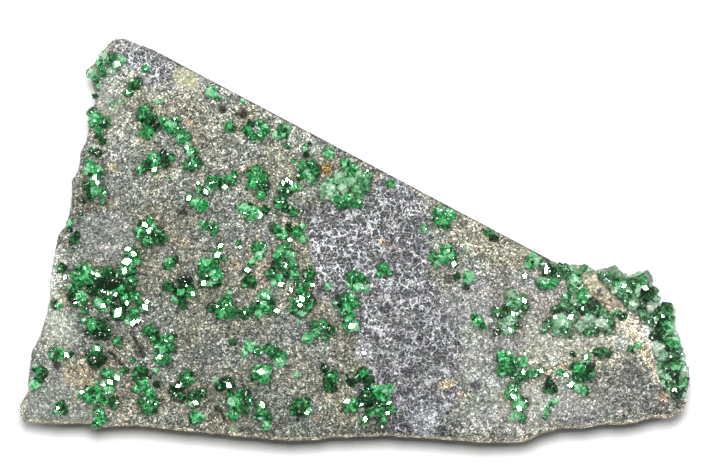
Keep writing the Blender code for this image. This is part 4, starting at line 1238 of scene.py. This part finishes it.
def rock_finish():
    """Granular chromite-bearing rock: grains, white vein net, tinted patches."""
    made, tree, shader = new_material("matrix_rock")
    place = in_millimetres(tree)
    colour = attribute(tree, "ground", "Color")
    fine, fine_pick = grain_shades(tree, place, FINE_GRAIN, FINE_SHADES, GRAIN_TINT)
    coarse, coarse_pick = grain_shades(tree, place, COARSE_GRAIN, COARSE_SHADES, GRAIN_TINT)
    cloud = noise_node(tree, place, 1.1, detail=4.0, roughness=0.65)
    cloud_shades = ramp_node(tree, cloud.outputs["Fac"], ((0.28, 0.6), (0.5, 1.0), (0.72, 1.4)))
    calm = attribute(tree, "calm")
    for shades in (fine, coarse, cloud_shades):
        evened = mix_colours(tree, calm, shades, (1.0, 1.0, 1.0))
        colour = mix_colours(tree, 1.0, colour, evened, "MULTIPLY")
    vein = maths(tree, "MAXIMUM", vein_net(tree, place, *VEIN_NET), vein_net(tree, place, *FINE_VEIN_NET))
    vein = maths(tree, "MULTIPLY", vein, attribute(tree, "veins"), clamp=True)
    vein_colour = mix_colours(tree, 1.0, VEIN_COLOUR, coarse, "MULTIPLY")
    vein_colour = mix_colours(tree, 0.5, vein_colour, mix_colours(tree, 1.0, VEIN_COLOUR, fine, "MULTIPLY"))
    colour = mix_colours(tree, vein, colour, vein_colour)
    link(tree, colour, shader.inputs["Base Color"])
    shader.inputs["Roughness"].default_value = 0.72
    shader.inputs["Specular IOR Level"].default_value = 0.4

    grit = noise_node(tree, place, 0.22, detail=3.0, roughness=0.7)
    height = maths(tree, "ADD", grit.outputs["Fac"], fine_pick.outputs["Blue"])
    bump = node(tree, "ShaderNodeBump")
    bump.inputs["Strength"].default_value = 0.8
    bump.inputs["Distance"].default_value = 0.08 * MM
    link(tree, height, bump.inputs["Height"])
    link(tree, bump.outputs["Normal"], shader.inputs["Normal"])
    return made


FINE_GRAIN = 0.15
FINE_SHADES = ((0.0, 0.1), (0.2, 0.36), (0.5, 0.84), (0.75, 1.3), (0.9, 2.0), (1.0, 4.0))
COARSE_GRAIN = 0.42
COARSE_SHADES = ((0.0, 0.56), (0.3, 0.82), (0.7, 1.1), (1.0, 1.6))
GRAIN_TINT = 0.14

# Nets of veins: cell size, wander, wave of the width, then noise value and width in cells
VEIN_NET = (0.86, 0.95, 1.5, ((0.42, 0.001), (0.55, 0.07), (0.70, 0.22)))
FINE_VEIN_NET = (0.44, 0.7, 1.0, ((0.48, 0.001), (0.62, 0.08), (0.75, 0.18)))
VEIN_COLOUR = (0.66, 0.69, 0.71)


def grain_shades(tree, place, size, stops, tint):
    """Shades of grains of one size, each with a slight colour of its own, and their random numbers."""
    cells = cell_node(tree, place, size)
    pick = node(tree, "ShaderNodeSeparateColor")
    link(tree, cells.outputs["Color"], pick.inputs["Color"])
    shades = ramp_node(tree, pick.outputs["Red"], stops)
    bright = node(tree, "ShaderNodeVectorMath", operation="MULTIPLY_ADD")
    link(tree, cells.outputs["Color"], bright.inputs[0])
    bright.inputs[1].default_value = (1.0, 0.8, 1.0)
    bright.inputs[2].default_value = (0.5, 0.6, 0.5)
    tinted = mix_colours(tree, 1.0, shades, bright.outputs["Vector"], "MULTIPLY")
    return mix_colours(tree, tint, shades, tinted), pick


def vein_net(tree, place, cell, wander, wave, widths):
    """Share of white vein: a net of cell walls that wander, swell and die out."""
    bend = noise_node(tree, place, 0.9, detail=3.0)
    bent = node(tree, "ShaderNodeVectorMath", operation="MULTIPLY_ADD")
    link(tree, bend.outputs["Color"], bent.inputs[0])
    bent.inputs[1].default_value = (wander,) * 3
    link(tree, place, bent.inputs[2])
    net = cell_node(tree, bent.outputs["Vector"], cell, "DISTANCE_TO_EDGE")
    thickness = noise_node(tree, place, wave, detail=3.0, roughness=0.7)
    width = ramp_node(tree, thickness.outputs["Fac"], widths)
    share = maths(tree, "DIVIDE", net.outputs["Distance"], width)
    return maths(tree, "SUBTRACT", 1.25, share, clamp=True)

GARNET_TONES = (
    (0.0, (0.008, 0.024, 0.010)), (0.25, (0.016, 0.064, 0.022)), (0.5, (0.024, 0.18, 0.046)),
    (0.72, (0.016, 0.48, 0.10)), (0.9, (0.06, 0.72, 0.20)), (1.0, (0.38, 0.86, 0.50)),
)
MILKY_TONES = (
    (0.0, (0.03, 0.06, 0.036)), (0.25, (0.09, 0.17, 0.10)), (0.5, (0.21, 0.36, 0.23)),
    (0.75, (0.38, 0.54, 0.40)), (1.0, (0.70, 0.80, 0.68)),
)
GARNET_IOR = 1.86
GARNET_ROUGHNESS = 0.06
GARNET_TRANSMISSION = 0.35
FACET_CELL = 0.27
FACET_TONES = 0.55
WASH_WAVE = 0.5
WASH_TONES = 0.7
SPARKLE_CELL = 0.2
SPARKLE_LEAN = 0.6


def garnet_finish():
    """Glassy green garnet with small growth faces that each catch the light their own way."""
    made, tree, shader = new_material("garnet_crystal")
    place = in_millimetres(tree)
    wash = noise_node(tree, place, WASH_WAVE, detail=2.0, roughness=0.6)
    facets = cell_node(tree, place, FACET_CELL)
    pick = node(tree, "ShaderNodeSeparateColor")
    link(tree, facets.outputs["Color"], pick.inputs["Color"])
    tone = maths(tree, "MULTIPLY_ADD", wash.outputs["Fac"], WASH_TONES, -WASH_TONES / 2)
    tone = maths(tree, "ADD", tone, maths(tree, "MULTIPLY_ADD", pick.outputs["Red"], FACET_TONES, -FACET_TONES / 2))
    # the tone attribute carries the painted light and shade by height on each crystal
    tone = maths(tree, "ADD", tone, attribute(tree, "tone"), clamp=True)
    clear = ramp_node(tree, tone, GARNET_TONES)
    milky = ramp_node(tree, tone, MILKY_TONES)
    link(tree, mix_colours(tree, attribute(tree, "milk"), clear, milky), shader.inputs["Base Color"])
    shader.inputs["Roughness"].default_value = GARNET_ROUGHNESS
    shader.inputs["IOR"].default_value = GARNET_IOR
    shader.inputs["Transmission Weight"].default_value = GARNET_TRANSMISSION
    cells = cell_node(tree, place, SPARKLE_CELL)
    lean = node(tree, "ShaderNodeVectorMath", operation="MULTIPLY_ADD")
    link(tree, cells.outputs["Color"], lean.inputs[0])
    lean.inputs[1].default_value = (SPARKLE_LEAN,) * 3
    lean.inputs[2].default_value = (-SPARKLE_LEAN / 2,) * 3
    held = node(tree, "ShaderNodeVectorMath", operation="SCALE")
    link(tree, lean.outputs["Vector"], held.inputs[0])
    link(tree, attribute(tree, "sparkle"), held.inputs["Scale"])
    surface = node(tree, "ShaderNodeNewGeometry")
    leaned = node(tree, "ShaderNodeVectorMath", operation="ADD")
    link(tree, surface.outputs["Normal"], leaned.inputs[0])
    link(tree, held.outputs["Vector"], leaned.inputs[1])
    unit = node(tree, "ShaderNodeVectorMath", operation="NORMALIZE")
    link(tree, leaned.outputs["Vector"], unit.inputs[0])
    link(tree, unit.outputs["Vector"], shader.inputs["Normal"])
    return made


def bed_finish():
    """Fine dark green garnet under the end crystals."""
    made, tree, shader = new_material("garnet_bed")
    place = in_millimetres(tree)
    cells = cell_node(tree, place, 0.3)
    pick = node(tree, "ShaderNodeSeparateColor")
    link(tree, cells.outputs["Color"], pick.inputs["Color"])
    stops = ((0.0, (0.01, 0.03, 0.015)), (0.5, (0.03, 0.12, 0.05)), (0.8, (0.12, 0.3, 0.15)), (1.0, (0.6, 0.7, 0.6)))
    link(tree, ramp_node(tree, pick.outputs["Red"], stops), shader.inputs["Base Color"])
    shader.inputs["Roughness"].default_value = 0.4
    return made


def floor_finish():
    made, tree, shader = new_material("floor")
    shader.inputs["Base Color"].default_value = (FLOOR_BRIGHTNESS,) * 3 + (1.0,)
    shader.inputs["Roughness"].default_value = 1.0
    shader.inputs["Specular IOR Level"].default_value = 0.0
    return made


def make_floor():
    size = 2.0
    corners = [(-size, -size, 0), (size, -size, 0), (size, size, 0), (-size, size, 0)]
    made = new_object("floor", corners, [(0, 1, 2, 3)], (0, 0, -0.02 * MM))
    made.data.materials.append(floor_finish())


def make_lamp(turn, tilt, spread, share):
    """A square lamp, its power such that it gives its share of the light on the floor."""
    lamp = bpy.data.lights.new("softbox", "AREA")
    lamp.shape = "SQUARE"
    lamp.size = 2 * LAMP_DISTANCE * math.tan(math.radians(spread))
    lamp.energy = share * (math.pi * LAMP_DISTANCE) ** 2 / math.cos(math.radians(tilt))
    holder = bpy.data.objects.new("softbox", lamp)
    direction = lamp_direction(turn, tilt)
    holder.location = direction * LAMP_DISTANCE
    holder.rotation_euler = direction.to_track_quat("Z", "Y").to_euler()
    bpy.context.scene.collection.objects.link(holder)


def make_light():
    """One soft lamp nearly overhead, small ones around the top side, and an even pale sky."""
    for lamp in LAMPS:
        make_lamp(*lamp)
    world = bpy.data.worlds.new("studio")
    world.use_nodes = True
    background = world.node_tree.nodes["Background"]
    background.inputs["Color"].default_value = (0.98, 0.99, 1.0, 1.0)
    background.inputs["Strength"].default_value = SKY_RADIANCE
    bpy.context.scene.world = world


def make_camera(shift):
    """A long lens looking straight down on the middle of the photograph's frame."""
    x, y = on_slab(FRAME_PIXELS[0] / 2, FRAME_PIXELS[1] / 2)
    lens = bpy.data.cameras.new("camera")
    lens.sensor_width = SENSOR_WIDTH
    lens.lens = SENSOR_WIDTH * CAMERA_DISTANCE / (FRAME_PIXELS[0] * PIXEL)
    holder = bpy.data.objects.new("camera", lens)
    holder.location = (x + shift[0], y + shift[1], SLAB_THICKNESS + CAMERA_DISTANCE)
    bpy.context.scene.collection.objects.link(holder)
    bpy.context.scene.camera = holder


def make_rock(limits, shift):
    vertices, faces = rock_mesh()
    made = new_object("matrix_rock", held(vertices, limits, shift), faces, shift)
    colour, veins, calm = ground_values(vertices)
    ground = made.data.attributes.new("ground", "FLOAT_COLOR", "POINT")
    rgba = np.column_stack((colour, np.ones(len(colour)))).astype(np.float32)
    ground.data.foreach_set("color", rgba.ravel())
    set_field(made, "veins", veins)
    set_field(made, "calm", calm)
    made.data.materials.append(rock_finish())
    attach(made, "root")
    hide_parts("matrix_slab")


def place_growth(growth, node_name, limits, shift, finish):
    made = growth.as_object(limits, shift, finish)
    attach(made, "root")
    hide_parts(node_name)
    return made


def main():
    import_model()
    cad_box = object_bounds()
    slab_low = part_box("matrix_slab")[0]
    low_x, low_y = on_slab(*SLAB_LOW_PIXEL)
    shift = (slab_low.x - low_x, slab_low.y - low_y, 0.0)
    limits = np.array(cad_box[0]), np.array(cad_box[1])
    make_rock(limits, shift)
    finish = garnet_finish()
    growths = {name: Growth("crystals_" + name, MILKY.get(name, MILK)) for name in CRUSTS}
    for name, crystals in CRUSTS.items():
        grow(growths[name], crystals, SATELLITES)
    lone = Growth("crystals_lone", MILK)
    grow(lone, LONE_GARNETS, LONE_SATELLITES)
    end = Growth("crystals_right_end", END_MILK)
    outer = spots(END_OUTER)
    grow(end, END_GARNETS, SATELLITES, outer)
    for pixel_x, pixel_y, radius, tone in END_GEMS:
        end.add(stand_on_rock(pixel_x, pixel_y, 0.4 * radius * PIXEL), radius, tone, random_turn(end.generator))
    grown = {name: (growth, CRUSTS[name]) for name, growth in growths.items()}
    grown["lone"] = lone, LONE_GARNETS
    grown["end"] = end, END_GARNETS
    grow_shining(grown)
    scatter_specks(lone)
    grow_flank(end, outer)
    for name, growth in growths.items():
        place_growth(growth, "garnet_" + name, limits, shift, finish)
    place_growth(lone, "matrix_slab", limits, shift, finish)
    place_growth(end, "garnet_right_end_crust", limits, shift, finish)
    bed = new_object("end_crust_bed", *end_bed(), shift)
    bed.data.materials.append(bed_finish())
    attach(bed, "root")
    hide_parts("garnet_right_end_crust")
    make_floor()
    make_light()
    make_camera(shift)
    bpy.context.scene.view_settings.view_transform = "Standard"


main()
